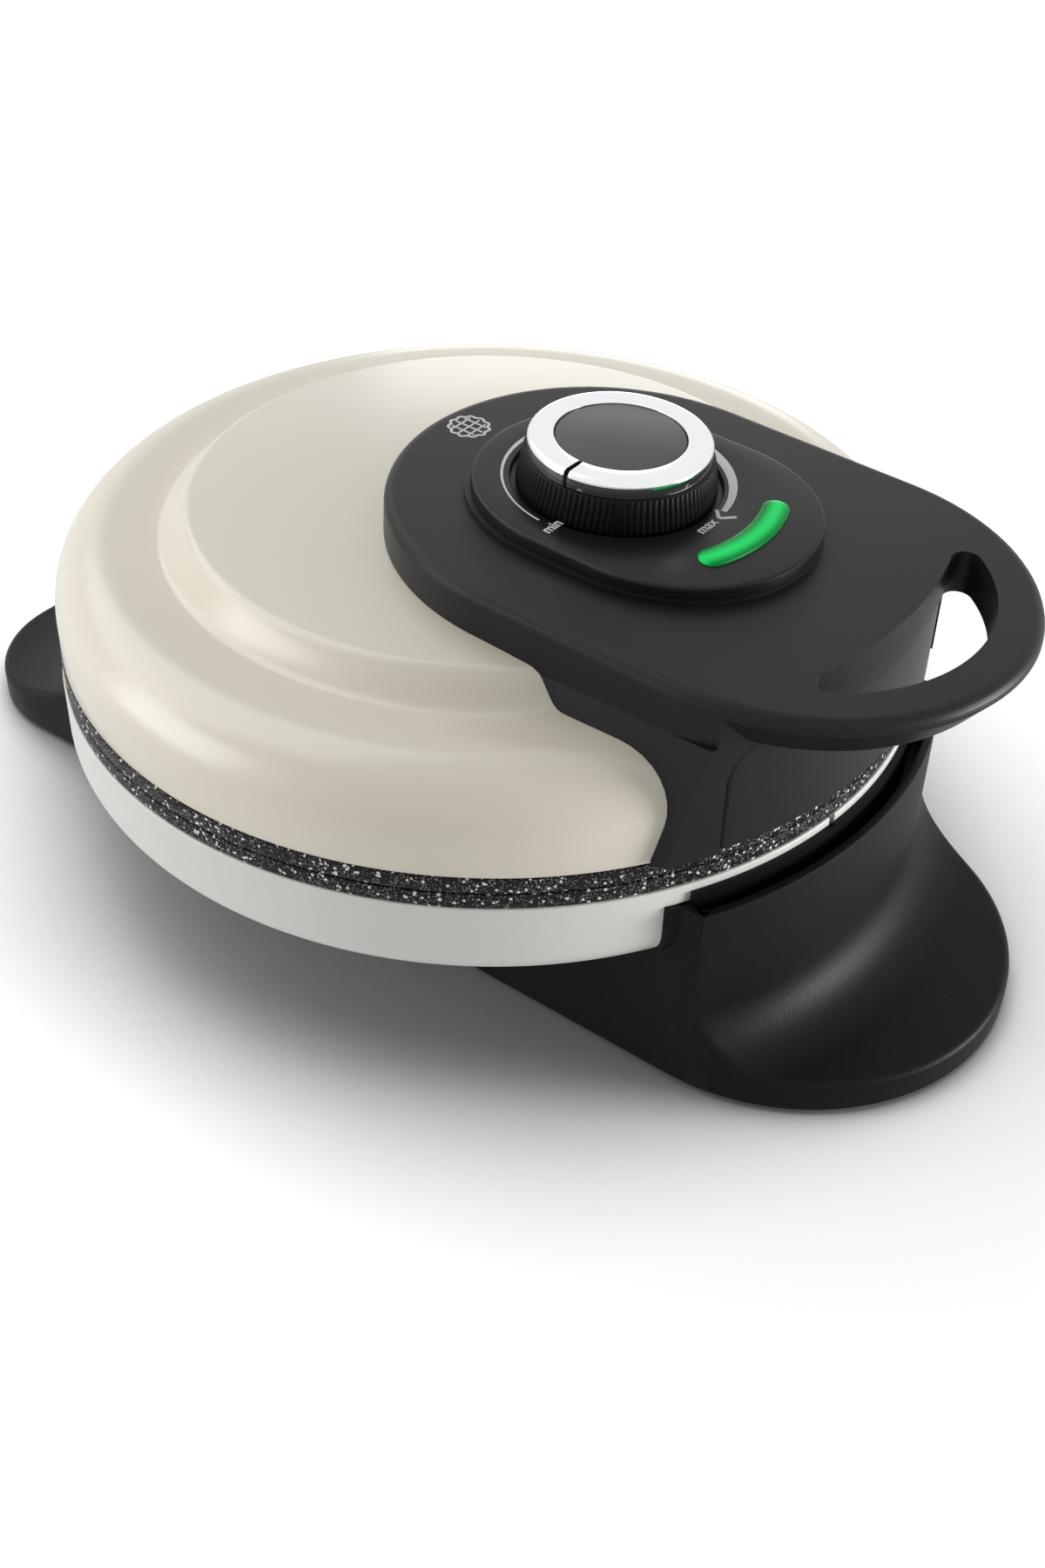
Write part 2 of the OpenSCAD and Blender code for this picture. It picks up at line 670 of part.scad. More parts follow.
// The long round-ended body of the handle, with its top at z = 0, drawn in by g.
module deck_solid(depth, taper = 0, g = 0) {
    half = deck_section(depth, taper, g);
    rotate_extrude(angle = 180, $fn = fine) polygon(half);
    translate([0, -deck_len, 0]) rotate([0, 0, 180]) rotate_extrude(angle = 180, $fn = fine) polygon(half);
    rotate([90, 0, 0]) linear_extrude(deck_len) union() {
        polygon(half);
        mirror([1, 0, 0]) polygon(half);
    }
}
// The lens-shaped finger slot in plan, drawn in by g.
module slot_shape(g = 0) {
    offset(r = slot_round) offset(delta = -slot_round - g) difference() {
        translate([0, -deck_len]) circle(r = bar_inner_r, $fn = fine);
        translate([0, deck_axis_w]) circle(r = slot_back_r, $fn = fine);
    }
}
// The strip under the loop's bar in plan, drawn in by g.
module strip_shape(g) {
    difference() {
        translate([0, -deck_len]) circle(r = deck_r - loop_taper - g);
        translate([0, -deck_len]) circle(r = bar_inner_r + g);
        translate([0, deck_axis_w]) circle(r = slot_back_r + g, $fn = fine);
    }
}
// The front opening seen from the front, with round upper corners, drawn in by g.
module panel_shape(g) {
    low = lid_z + cheek_gap;
    h = panel_top - low;
    translate([g - panel_hw, low]) square([2 * (panel_hw - g), h - panel_corner_r]);
    translate([panel_corner_r - panel_hw, low]) square([2 * (panel_hw - panel_corner_r), h - g]);
    for (s = [-1, 1]) translate([s * (panel_hw - panel_corner_r), panel_top - panel_corner_r])
        circle(r = panel_corner_r - g);
}
module front_cut(g) {
    translate([0, -deck_y, 0]) rotate([90, 0, 0]) linear_extrude(front_r - deck_y + 1) panel_shape(g);
}
// The part of the handle that stands on the lid, drawn in by g.
module saddle(g) {
    intersection() {
        union() {
            on_deck() deck_solid(deck_z - lid_z, 0, g);
            cheek_wedge(g);
        }
        translate([0, 0, lid_z + (g > 0 ? 0 : cheek_gap)]) cylinder(r = front_r - g, h = 60, $fn = fine);
    }
}

// The cheeks' flare: they lean out from below the deck down to the lid's wall.
module cheek_wedge(g) {
    top = deck_z - flare_drop;
    wide = deck_r - g + cheek_flare;
    translate([0, -deck_y, 0]) rotate([90, 0, 0]) linear_extrude(front_r)
        polygon([[g - deck_r, top], [-wide, lid_z - 1], [wide, lid_z - 1], [deck_r - g, top]]);
}

// The moulded cover: deck, loop, side cheeks, and bosses that stand on the lid.
module handle_cover() {
    color("#1b1b1d") difference() {
        union() {
            difference() {
                union() {
                    on_deck() {
                        deck_solid(loop_t, loop_taper);
                        linear_extrude(collar_h) stadium(ctrl_r + collar_w);
                    }
                    saddle(0);
                }
                saddle(handle_wall);
                front_cut(0);
                on_deck() {
                    translate([0, 0, -loop_t - 1]) linear_extrude(loop_t + 2) slot_shape();
                    translate([0, 0, -loop_t - eps])
                        linear_extrude(loop_t - handle_wall) strip_shape(strip_wall);
                    linear_extrude(ctrl_h) stadium(ctrl_r + seat_fit);
                }
            }
            on_deck() at_spots(handle_spots) translate([0, 0, -16]) cylinder(r = 4.5, h = 15);
            on_deck() translate([0, 0, -16]) cylinder(r = bushing_r + 3, h = 15);
        }
        lid_volume(seat_fit);
        on_deck() {
            translate([0, 0, -30]) cylinder(r = bushing_r + seat_fit, h = 40);
            at_spots(handle_spots) translate([0, 0, -20]) cylinder(r = screw_r + run_fit, h = 18);
            translate([0, -lamp_r, -10]) cylinder(r = 1, h = 20);
        }
    }
}

// Strip that closes the hollow bar of the loop from below.
module grip_underside() {
    color("#232325") on_deck() translate([0, 0, -loop_t])
        linear_extrude(2) strip_shape(strip_wall + seat_fit);
}

// Recessed curved panel that closes the handle's front.
module front_panel() {
    color("#222224") intersection() {
        translate([0, 0, lid_z]) tube(front_r - panel_recess, front_r - handle_wall + 0.2, 40);
        front_cut(seat_fit);
    }
}
module handle_screws() {
    color("#8a8a8c") on_deck() for (p = handle_spots)
        translate([p[0], p[1], deck_level(lid_under(p) - sheet, p[1]) - 0.35]) screw(6);
}

// A round-ended plan about the dial axis, of end radius r.
module stadium(r) {
    circle(r = r);
    translate([0, -ctrl_len]) circle(r = r);
    translate([-r, -ctrl_len]) square([2 * r, ctrl_len]);
}
// An arc-shaped bar on the lamp's radius, of width w.
module lamp_bar(w, h) {
    a = lamp_half_angle;
    rotate([0, 0, -90 - a]) rotate_extrude(angle = 2 * a) translate([lamp_r - w / 2, 0]) square([w, h]);
    for (s = [-1, 1]) rotate([0, 0, -90 + s * a]) translate([lamp_r, 0, 0]) cylinder(r = w / 2, h = h);
}

// Raised plate with the dial's well and the lamp's window.
module control_plate() {
    color("#1f1f21") on_deck() difference() {
        union() {
            linear_extrude(ctrl_h - 0.6) stadium(ctrl_r);
            linear_extrude(ctrl_h) stadium(ctrl_r - 0.6);
        }
        translate([0, 0, -eps]) linear_extrude(ctrl_h - ctrl_t + eps) stadium(ctrl_r - ctrl_t);
        translate([0, 0, ctrl_h - well_d]) cylinder(r = well_r, h = well_d + 1);
        cylinder(r = bushing_r + 3.2, h = ctrl_h + 1);
        lamp_bar(lamp_w + 2 * seat_fit, ctrl_h + 1);
    }
}

// Clear green lens in the plate's window, with a flange under the plate.
module lamp_lens() {
    color("#22c452", 0.9) on_deck() {
        translate([0, 0, ctrl_h - ctrl_t - 1]) lamp_bar(lamp_w + 2, 1);
        translate([0, 0, ctrl_h - ctrl_t - eps]) lamp_bar(lamp_w, ctrl_t + lamp_rise + eps);
    }
}
// Small lamp under the lens, standing on the deck.
module indicator_lamp() {
    color("#d7f5dd") on_deck() translate([0, -lamp_r, 0]) {
        cylinder(r = 2.5, h = 0.4);
        cylinder(r = 1.9, h = ctrl_h - ctrl_t - 1.2);
    }
}

// Thermostat under the dome, with a threaded bushing that the shaft runs in.
module thermostat() {
    top = deck_level(crown_z(deck_y) - sheet, 0) - 0.4;
    w = thermostat_w;
    color("#cfc9bb") on_deck() difference() {
        union() {
            translate([-w / 2, -w / 2, top - thermostat_h]) cube([w, w, thermostat_h]);
            translate([0, 0, top - eps]) cylinder(r = bushing_r, h = nut_h + 0.4 - top);
            both_sides() translate([w / 2 - 7, -3, top - thermostat_h - 4]) cube([1, 6, 5]);
        }
        translate([0, 0, top - thermostat_h + 2]) cylinder(r = shaft_r + run_fit, h = 60);
    }
}
// Hexagon nut that clamps the bushing to the deck.
module dial_nut() {
    color("#b9bcc0") on_deck() difference() {
        cylinder(r = bushing_r + 2.6, h = nut_h, $fn = 6);
        translate([0, 0, -eps]) cylinder(r = bushing_r + run_fit, h = nut_h + 1);
    }
}

// Block on the lid's wall that turns on the hinge pin.
module hinge_block() {
    color("#1d1d1f") difference() {
        union() {
            cross_rod(ear_r, 2 * block_hw, hinge_y, hinge_z);
            across(-block_hw, block_hw) polygon([[hinge_y - ear_r / 2, hinge_z], [band_r + 0.8, lid_z - 2],
                     [lid_r - 4, lid_z + 0.7], [lid_r - 4, lid_z + 0.7 + block_h],
                     [lid_r + 2.5, lid_z + 0.7 + block_h], [hinge_y + ear_r * 0.8, hinge_z + 2]]);
        }
        lid_volume(seat_fit);
        cylinder(r = band_r + 0.4, h = lid_z + 0.3, $fn = fine);
        cross_rod(pin_r + run_fit, 4 * block_hw, hinge_y, hinge_z);
        at_spots(block_screw_x) translate([0, lid_r - 4, block_screw_z]) rotate([-90, 0, 0])
            cylinder(r = screw_r + run_fit, h = 9);
    }
}
// Two screws from inside the lid's wall into the block.
module hinge_screws() {
    seat = sqrt(pow(lid_r - sheet, 2) - pow(block_hw / 2 + screw_head_r, 2));
    color("#8a8a8c") at_spots(block_screw_x) translate([0, seat, block_screw_z])
        rotate([-90, 0, 0]) screw(6);
}

// ---------------------------------------------------------------- dial

// D-section shaft from the thermostat up into the dial.
module dial_shaft() {
    low = deck_level(crown_z(deck_y) - sheet, 0) - 0.4 - thermostat_h + 2.2;
    top = ring_z - 3;
    color("#b4b7bb") on_deck() difference() {
        translate([0, 0, low]) cylinder(r = shaft_r, h = top - low);
        translate([shaft_r * 0.6, -shaft_r, ctrl_h + 1]) cube([shaft_r, 2 * shaft_r, dial_h]);
    }
}

// Ribbed skirt with the hub that grips the shaft.
module dial_skirt() {
    low = ctrl_h - well_d + 0.5;
    top = ring_z - ring_h;
    lean = atan((skirt_r - skirt_top_r) / (top - low));
    color("#171719") on_deck() difference() {
        rotate_extrude($fn = fine) polygon([
            [0, low + 1.5], [6, low + 1.5], [6, top - 2], [skirt_top_r - 2.2, top - 2],
            [skirt_r - 2.2, low], [skirt_r, low], [skirt_top_r, top], [cap_r - 0.4, top],
            [cap_r - 0.4, ring_z - 2.3], [0, ring_z - 2.3]]);
        translate([0, 0, low - 1]) difference() {
            cylinder(r = shaft_r + seat_fit, h = ring_z - 2.9 - low + 1);
            translate([shaft_r * 0.6 + seat_fit, -10, 3]) cube([20, 20, 40]);
        }
        for (i = [1 : knurls]) rotate([0, 0, i * 360 / knurls]) translate([skirt_r + 0.15, 0, low])
            rotate([0, -lean, 0]) translate([0, 0, -1]) cylinder(r = knurl_d, h = top - low + 3, $fn = 16);
    }
}

// Polished ring with a bevelled edge and a pointer notch.
module dial_ring() {
    color("#dfe2e6") on_deck() difference() {
        rotate_extrude($fn = fine) polygon([
            [cap_r, ring_z - ring_h], [ring_r - 0.5, ring_z - ring_h], [ring_r, ring_z - ring_h + 0.5],
            [ring_r, ring_z - 1.3], [ring_r - 1.3, ring_z], [cap_r, ring_z]]);
        translate([-ring_r - 1, -notch_w / 2, ring_z - 1.4]) cube([ring_r - cap_r + 3, notch_w, 2]);
    }
}
// Satin disc in the middle of the ring.
module dial_cap() {
    color("#3a3c40") on_deck() rotate_extrude() polygon([
        [0, ring_z - 2.3], [cap_r - seat_fit, ring_z - 2.3], [cap_r - seat_fit, ring_z - 0.5],
        [cap_r - 0.4, ring_z - 0.3], [0, ring_z - 0.3]]);
}

place() base_housing();
place() bottom_cover();
place() rubber_feet();
place() cover_screws();
place() lower_shell();
place() lower_plate();
place() lower_heater();
place() lower_reflector();
place() lower_posts();
place() shell_screws();
place() thermal_fuse();
place() terminal_block();
place() cord_bushing();
place() hinge_pin();
place() upper_shell();
place() upper_plate();
place() upper_heater();
place() upper_reflector();
place() upper_posts();
place() handle_cover();
place() grip_underside();
place() front_panel();
place() handle_screws();
place() control_plate();
place() lamp_lens();
place() indicator_lamp();
place() thermostat();
place() dial_nut();
place() hinge_block();
place() hinge_screws();
place() dial_shaft();
place() dial_skirt();
place() dial_ring();
place() dial_cap();
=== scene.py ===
"""A round waffle maker with a tilting lid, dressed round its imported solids."""
import math
import bmesh
import bpy
import numpy as np
from mathutils import Matrix, Vector


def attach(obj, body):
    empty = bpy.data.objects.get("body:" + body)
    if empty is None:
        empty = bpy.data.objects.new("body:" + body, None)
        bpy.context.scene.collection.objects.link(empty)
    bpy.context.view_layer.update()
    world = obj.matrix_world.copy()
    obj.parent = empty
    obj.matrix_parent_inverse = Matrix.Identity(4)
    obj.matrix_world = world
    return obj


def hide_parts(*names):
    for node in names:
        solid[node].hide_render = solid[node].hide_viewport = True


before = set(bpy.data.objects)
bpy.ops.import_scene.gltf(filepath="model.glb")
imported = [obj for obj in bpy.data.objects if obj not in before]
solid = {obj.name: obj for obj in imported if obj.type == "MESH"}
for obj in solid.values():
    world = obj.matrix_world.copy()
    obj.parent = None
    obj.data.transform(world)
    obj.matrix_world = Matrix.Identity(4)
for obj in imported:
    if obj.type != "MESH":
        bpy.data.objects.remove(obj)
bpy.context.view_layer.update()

# --- Camera -------------------------------------------------------------------------------
# The viewer stands in front and to the left of the handle and looks down at the lid. The
# camera is turned about its own axis by a degree and a half.
azimuth, elevation, roll = math.radians(-53.96), math.radians(38.81), math.radians(1.57)
aim, distance = Vector((-0.0156, -0.0262, 0.0277)), 0.4847
back = Vector((math.sin(azimuth) * math.cos(elevation),
               -math.cos(azimuth) * math.cos(elevation), math.sin(elevation)))
level = Vector((math.cos(azimuth), math.sin(azimuth), 0))
right = Matrix.Rotation(roll, 3, back) @ level
camera = bpy.data.objects.new("camera", bpy.data.cameras.new("camera"))
camera.data.sensor_width = 36
camera.data.lens = 42.55
camera.data.clip_start = 0.01
turn = Matrix((right, back.cross(right), back)).transposed()
camera.matrix_world = Matrix.Translation(aim + distance * back) @ turn.to_4x4()
bpy.context.scene.collection.objects.link(camera)
bpy.context.scene.camera = camera

# --- Room ---------------------------------------------------------------------------------
# A white table under four soft boxes and a pale sky. To the camera the table is plain white
# in the open, and a shadow is painted into it where the machine stands over it.


class Value:
    """One output of a shader node. Arithmetic on it adds Math nodes to the same tree."""

    def __init__(self, nodes, socket):
        self.nodes, self.socket = nodes, socket

    def math(self, operation, *others):
        return self.nodes.node("Math", {"operation": operation},
                               dict(enumerate((self, *others))))

    def __add__(self, other):
        return self.math("ADD", other)

    def __sub__(self, other):
        return self.math("SUBTRACT", other)

    def __mul__(self, other):
        return self.math("MULTIPLY", other)

    def __rsub__(self, other):
        return self.nodes.node("Math", {"operation": "SUBTRACT"}, {0: other, 1: self})

    __radd__ = __add__
    __rmul__ = __mul__

    def between(self, low, high):
        """0 below low, 1 above high and a smooth rise between them."""
        return self.nodes.node("MapRange", {"interpolation_type": "SMOOTHSTEP"},
                               {0: self, 1: low, 2: high, 3: 0.0, 4: 1.0})


class Nodes:
    """The shader nodes of a material or of the world, added one by one."""

    def __init__(self, owner):
        owner.use_nodes = True
        self.tree = owner.node_tree
        self.tree.nodes.clear()

    def node(self, kind, settings=None, sockets=None, out=0):
        """Adds a node: settings first, then the values or links of its sockets."""
        made = self.tree.nodes.new("ShaderNode" + kind)
        for key, value in (settings or {}).items():
            setattr(made, key, value)
        for key, value in (sockets or {}).items():
            if isinstance(value, Value):
                self.tree.links.new(value.socket, made.inputs[key])
            elif isinstance(value, tuple) and made.inputs[key].type == "RGBA":
                made.inputs[key].default_value = (*value, 1)
            else:
                made.inputs[key].default_value = value
        return Value(self, made.outputs[out])

    def end(self, shader, output="OutputMaterial"):
        """Leads a shader to the output of the material or the world."""
        last = self.tree.nodes.new("ShaderNode" + output)
        self.tree.links.new(shader.socket, last.inputs["Surface"])


class Finish(Nodes):
    """A material whose patterns lie in the piece's own space."""

    def __init__(self, name):
        self.material = bpy.data.materials.new(name)
        super().__init__(self.material)
        self.place = self.node("TexCoord", out="Object")

    def along(self, axis):
        """The place along X, Y or Z in metres."""
        return self.node("SeparateXYZ", None, {0: self.place}, out=axis)

    def noise(self, scale, detail=2.0, roughness=0.5, place=None):
        """Soft noise, scale in waves per metre."""
        return self.node("TexNoise", None, {"Vector": place or self.place, "Scale": scale,
                                            "Detail": detail, "Roughness": roughness})

    def blend(self, share, low, high):
        """A colour that goes from low to high as share goes from 0 to 1."""
        return self.node("Mix", {"data_type": "RGBA"}, {0: share, 6: low, 7: high}, out=2)

    def bump(self, height, depth):
        """A normal from a height field whose full range is depth metres."""
        return self.node("Bump", None, {"Height": height, "Distance": depth, "Strength": 1.0})

    def shade(self, sockets):
        """Ends the material with a Principled shader that has these sockets."""
        self.end(self.node("BsdfPrincipled", None, sockets))


def grey(level):
    """The same level of red, green and blue."""
    return level, level, level


def soft_box(name, direction, away, size, power):
    """A square lamp of so many watts that looks at the machine from a direction, in metres."""
    lamp = bpy.data.objects.new(name, bpy.data.lights.new(name, "AREA"))
    lamp.data.size, lamp.data.energy = size, power
    towards = Vector(direction).normalized()
    aimed = towards.to_track_quat("Z", "Y").to_matrix().to_4x4()
    lamp.matrix_world = Matrix.Translation(towards * away) @ aimed
    bpy.context.scene.collection.objects.link(lamp)


soft_box("soft_box_back", (-0.10, 0.70, 0.90), 1.3, 1.2, 7.5)
soft_box("soft_box_side", (0.84, 0.50, 0.20), 1.3, 0.6, 1.5)
soft_box("soft_box_left", (-0.74, 0.66, 0.28), 1.3, 0.8, 6.5)
soft_box("soft_box_low", (0.44, -0.88, 0.12), 1.2, 0.46, 16.0)

# The sky is plain white to the camera, in gloss and through glass, and weaker as a light.
sky = bpy.data.worlds.new("sky")
air = Nodes(sky)
paths = [air.node("LightPath", out=f"Is {kind} Ray")
         for kind in ("Camera", "Glossy", "Transmission")]
glow = air.node("Background", None, {"Color": grey(1.0), "Strength": 0.32})
plain = air.node("Background", None, {"Color": grey(1.0), "Strength": 1.0})
seen = paths[0].math("MAXIMUM", paths[1]).math("MAXIMUM", paths[2])
air.end(air.node("MixShader", None, {0: seen, 1: glow, 2: plain}), "OutputWorld")
bpy.context.scene.world = sky
bpy.context.scene.view_settings.view_transform = "Standard"

# Every other ray meets a matt table. The camera's rays meet one with a painted shadow: its
# colour and its glow are darkened by how much of the sky the machine hides, and the glow
# lifts it to white further off.
table_half, painted_shadow_reach, lift_starts, lift_ends = 3.0, 0.085, 0.4, 1.0
table = Finish("white_table")
matt_top = {"Roughness": 0.6, "Specular IOR Level": 0.2}
matt = table.node("BsdfPrincipled", None, {"Base Color": grey(0.93), **matt_top})
painted_shadow_occlusion = table.node("AmbientOcclusion", {"samples": 16}, {"Distance": painted_shadow_reach}, out="AO")
outside_painted_shadow = painted_shadow_occlusion.between(0.38, 0.93)
# Painted shadow: the colour goes from dark grey where the machine hides the sky to white.
shown = table.node("BsdfPrincipled", None, {
    "Base Color": table.blend(outside_painted_shadow, grey(0.34), grey(0.96)), **matt_top})
off = table.node("VectorMath", {"operation": "LENGTH"}, {0: table.place}, out="Value")
# The glow is painted dark in the same shadow, then lifted to white further off.
lift = table.blend(outside_painted_shadow, grey(0.0), grey(1.0))
lift = table.blend(off.between(lift_starts, lift_ends), lift, grey(2.6))
lift = table.node("Emission", None, {"Strength": 0.30, "Color": lift})
shown = table.node("AddShader", None, {0: shown, 1: lift})
seen = table.node("LightPath", out="Is Camera Ray")
table.end(table.node("MixShader", None, {0: seen, 1: matt, 2: shown}))
mesh = bpy.data.meshes.new("table")
mesh.from_pydata([(table_half * x, table_half * y, 0) for x, y in
                  ((-1, -1), (1, -1), (1, 1), (-1, 1))], [], [(0, 1, 2, 3)])
mesh.materials.append(table.material)
floor = bpy.data.objects.new("table", mesh)
bpy.context.scene.collection.objects.link(floor)

# --- Base housing -------------------------------------------------------------------------
# The black foot is one injection-moulded nylon shell: a cup wall round the front of the
# pan, two flat cheeks, a toe that flares out of the wall, a heel and two hinge ears.
shell_y = -3.5
shells = np.eye(3), [0, shell_y, 0]
pan_edge_r, pan_edge_z, pan_edge = 101.0, 47.0, 9.1
cup_r, wall_w, cup_top, rear_top = 116.5, 2.2, 55.2, 46.0
seat_r, liner_r, liner_w, liner_top, moat_floor = 98.0, 111.1, 1.0, 58.0, 43.2
half_width, skirt_z, rim_roll, rim_w = 56.0, 1.5, 1.9, 2.4
cover_recess, hollow_w, hollow_h = 1.9, 2.6, 28.0
toe_centre, flare_r, flare_z, toe_slope = 96.0, 17.5, 27.8, 0.071
heel_back, heel_corner, heel_corner_r = 159.0, (21.0, 124.0), 35.0
heel_axis_y, sweep_starts, sweep_run, sweep_rise, sweep_top = 20.0, 96.1, 42.9, 28.0, 38.0


def skin(points, around=False, along=False):
    """A part from rows and columns of points, with a face between each four neighbours.

    around joins the last column to the first, and along the last row to the first.
    """
    rows, columns = points.shape[:2]
    number = np.arange(rows * columns).reshape(rows, columns)
    if around:
        number = np.hstack((number, number[:, :1]))
    if along:
        number = np.vstack((number, number[:1]))
    faces = np.stack((number[:-1, :-1], number[:-1, 1:], number[1:, 1:], number[1:, :-1]), -1)
    return points.reshape(-1, 3), [faces.reshape(-1, 4)]


def capped(points):
    """A closed part from rows that are closed outlines, with a flat cap at both ends."""
    ends = np.arange(points.shape[1])[None]
    body, faces = skin(points, around=True)
    return body, faces + [ends, ends + len(body) - points.shape[1]]


def rounded(corners, steps=8):
    """A closed outline whose corners (x, y, r) are arcs of radius r.

    An arc starts and ends r over the tangent of half the corner's angle away from the
    corner, and one more point a third of r further on keeps the straight side flat.
    """
    corners = np.array(corners, float)
    at, r = corners[:, None, :2], corners[:, None, 2:]
    sides = [np.roll(at, 1, 0) - at, np.roll(at, -1, 0) - at]
    sides = [side / np.linalg.norm(side, axis=-1, keepdims=True) for side in sides]
    half = np.arccos(np.clip((sides[0] * sides[1]).sum(-1, keepdims=True), -1, 1)) / 2
    middle = sides[0] + sides[1]
    middle = at + middle / np.linalg.norm(middle, axis=-1, keepdims=True) * r / np.sin(half)
    start, end = (at + side * r / np.tan(half) - middle for side in sides)
    t, turn = np.linspace(0, 1, steps + 1)[:, None], np.pi - 2 * half
    arc = middle + (start * np.sin((1 - t) * turn) + end * np.sin(t * turn)) / np.sin(turn)
    ends = [at + side * (r / np.tan(half) + r / 3) for side in sides]
    return np.concatenate((ends[0], arc, ends[1]), axis=1).reshape(-1, 2)


def inset(outline, depth):
    """A closed outline moved inwards along its own normals by depth."""
    x, y = outline.T
    along = np.roll(outline, -1, 0) - np.roll(outline, 1, 0)
    area = (x * np.roll(y, -1) - y * np.roll(x, -1)).sum()
    inward = np.stack((-along[:, 1], along[:, 0]), -1) * np.sign(area)
    length = np.linalg.norm(inward, axis=1, keepdims=True)
    return outline + depth * inward / np.maximum(length, 1e-9)


def layered(outline, levels):
    """A body with flat ends: the outline at each level (height, how far it is drawn in)."""
    return capped(np.stack([np.column_stack((inset(outline, depth), np.full(len(outline), height)))
                            for height, depth in levels]))


def placed(part, axes, origin):
    """The part with its own x, y and z laid along three axes from an origin."""
    points, faces = part
    return points @ np.array(axes, float) + np.array(origin, float), faces


def piece(name, parts, body, finish, stands_for, sharp=32):
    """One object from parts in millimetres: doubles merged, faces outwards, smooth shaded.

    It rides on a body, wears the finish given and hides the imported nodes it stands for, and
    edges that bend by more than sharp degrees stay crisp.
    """
    faces, start = [], 0
    for points, groups in parts:
        for group in groups:
            faces += (group + start).tolist()
        start += len(points)
    mesh = bpy.data.meshes.new(name)
    mesh.from_pydata((np.vstack([points for points, _ in parts]) / 1000).tolist(), [], faces)
    work = bmesh.new()
    work.from_mesh(mesh)
    bmesh.ops.remove_doubles(work, verts=work.verts, dist=2e-6)
    bmesh.ops.recalc_face_normals(work, faces=work.faces)
    work.to_mesh(mesh)
    work.free()
    mesh.shade_smooth()
    mesh.set_sharp_from_angle(angle=math.radians(sharp))
    mesh.materials.append(finish.material)
    made = bpy.data.objects.new(name, mesh)
    bpy.context.scene.collection.objects.link(made)
    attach(made, body)
    if stands_for:
        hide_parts(*stands_for)


def moulded(name, colour, roughness, grain=2.2e-5, gloss=0.2):
    """Moulded plastic: a fine spark-eroded grain and a gloss that wanders a little."""
    finish = Finish(name)
    cloud = finish.noise(28, 3)
    tone = finish.blend(cloud, tuple(c * 0.9 for c in colour), tuple(c * 1.1 for c in colour))
    finish.shade({"Base Color": tone, "Roughness": cloud * 0.10 + (roughness - 0.05),
                  "Normal": finish.bump(finish.noise(1100, 3, 0.6), grain),
                  "Specular IOR Level": gloss})
    return finish


black_nylon = moulded("black_nylon", (0.005, 0.005, 0.006), 0.44, 6e-5, 0.12)


def rolled_edge(inside, r):
    """How far a rounded edge falls: r less the height of a quarter circle of radius r."""
    near = np.clip(r - inside, 0, r)
    return r - np.sqrt(r * r - near * near)


def toe_top(x, y):
    """A quarter circle out of the cup wall, a gentle slope, and a rolled rim."""
    out = np.clip(np.hypot(x, y) - cup_r + 0.4, 0, 60)
    flare = flare_z - np.sqrt(flare_r ** 2 - np.clip(flare_r - out, 0, flare_r) ** 2)
    inside = half_width - np.hypot(x, np.clip(y - toe_centre, 0, None))
    return flare - toe_slope * np.clip(out - flare_r, 0, 60) - rolled_edge(inside, rim_roll)


def heel_top(x, y):
    """A quarter ellipse round a point behind the axis, with a rolled rim."""
    out = np.clip((np.hypot(x, y - heel_axis_y) - sweep_starts) / sweep_run, 0, 1)
    past = np.stack((np.abs(x) - heel_corner[0], y - heel_corner[1]))
    inside = heel_corner_r - np.hypot(*np.clip(past, 0, None)) - np.minimum(past.max(axis=0), 0)
    fall = sweep_rise * np.sqrt(1 - (1 - out) ** 2)
    return sweep_top - fall - rolled_edge(inside, rim_roll)


def foot(angles, filled, way, top, reach, height):
    """The toe or the heel: sections on rays from the shells' axis, at angles from its middle.

    A section climbs from the pan's seat into the moat and over the cup wall, falls down the
    wall and along the foot's own top, rolls over the rim and ends under the skirt. way is -1
    for the front and 1 for the back, top is the wall's height, reach is how far each ray
    goes, and height gives the foot's own top over (x, y). Where a ray is filled, the moat
    lies level with the wall, and at the back the liner does too.
    """
    lean = np.radians(np.linspace(0, 65, 6))
    seat = np.column_stack((pan_edge_r + pan_edge * np.sin(lean),
                            pan_edge_z - pan_edge * np.cos(lean)))
    seat = np.vstack(([[seat_r, pan_edge_z - pan_edge]], seat))
    liner = np.array([[liner_r - liner_w, 50], [liner_r - liner_w, liner_top],
                      [liner_r, liner_top], [liner_r, moat_floor]])
    inner = cup_r - wall_w
    wall = np.array([[inner, moat_floor], [inner, top - 0.6], [inner + 0.15, top - 0.15],
                     [inner + 0.6, top], [cup_r - 0.6, top], [cup_r - 0.15, top - 0.15],
                     [cup_r, top - 0.6]])
    fixed = np.vstack((seat, liner, wall))
    fixed_r, fixed_z = (np.tile(column, (len(angles), 1)) for column in fixed.T)
    liner_at, wall_at = len(seat), len(seat) + len(liner)
    fixed_z[filled, wall_at - 1:wall_at + 4] = top
    if way > 0:
        fixed_z[:, liner_at:wall_at - 1] = top
    t = np.concatenate((np.linspace(0, 0.8, 25), 1 - 0.2 * np.linspace(1, 0, 13)[1:] ** 1.6))
    r = cup_r + (reach[:, None] - cup_r) * t
    sine, cosine = np.sin(angles)[:, None], np.cos(angles)[:, None]
    z = height(r * sine, r * cosine)
    rim_r, rim_z = r[:, -1:], z[:, -1:]
    low, deep = np.full_like(rim_r, skirt_z), np.full_like(rim_r, cup_r - hollow_w)
    r = np.hstack((fixed_r, r, rim_r, rim_r, rim_r - 0.4, rim_r - rim_w, rim_r - rim_w, deep,
                   deep))
    z = np.hstack((fixed_z, z, rim_z / 2 + 1.2, low + 0.4, low, low, low + cover_recess,
                   low + cover_recess, low + hollow_h))
    return capped(np.stack((r * sine, way * r * cosine, z), axis=-1))


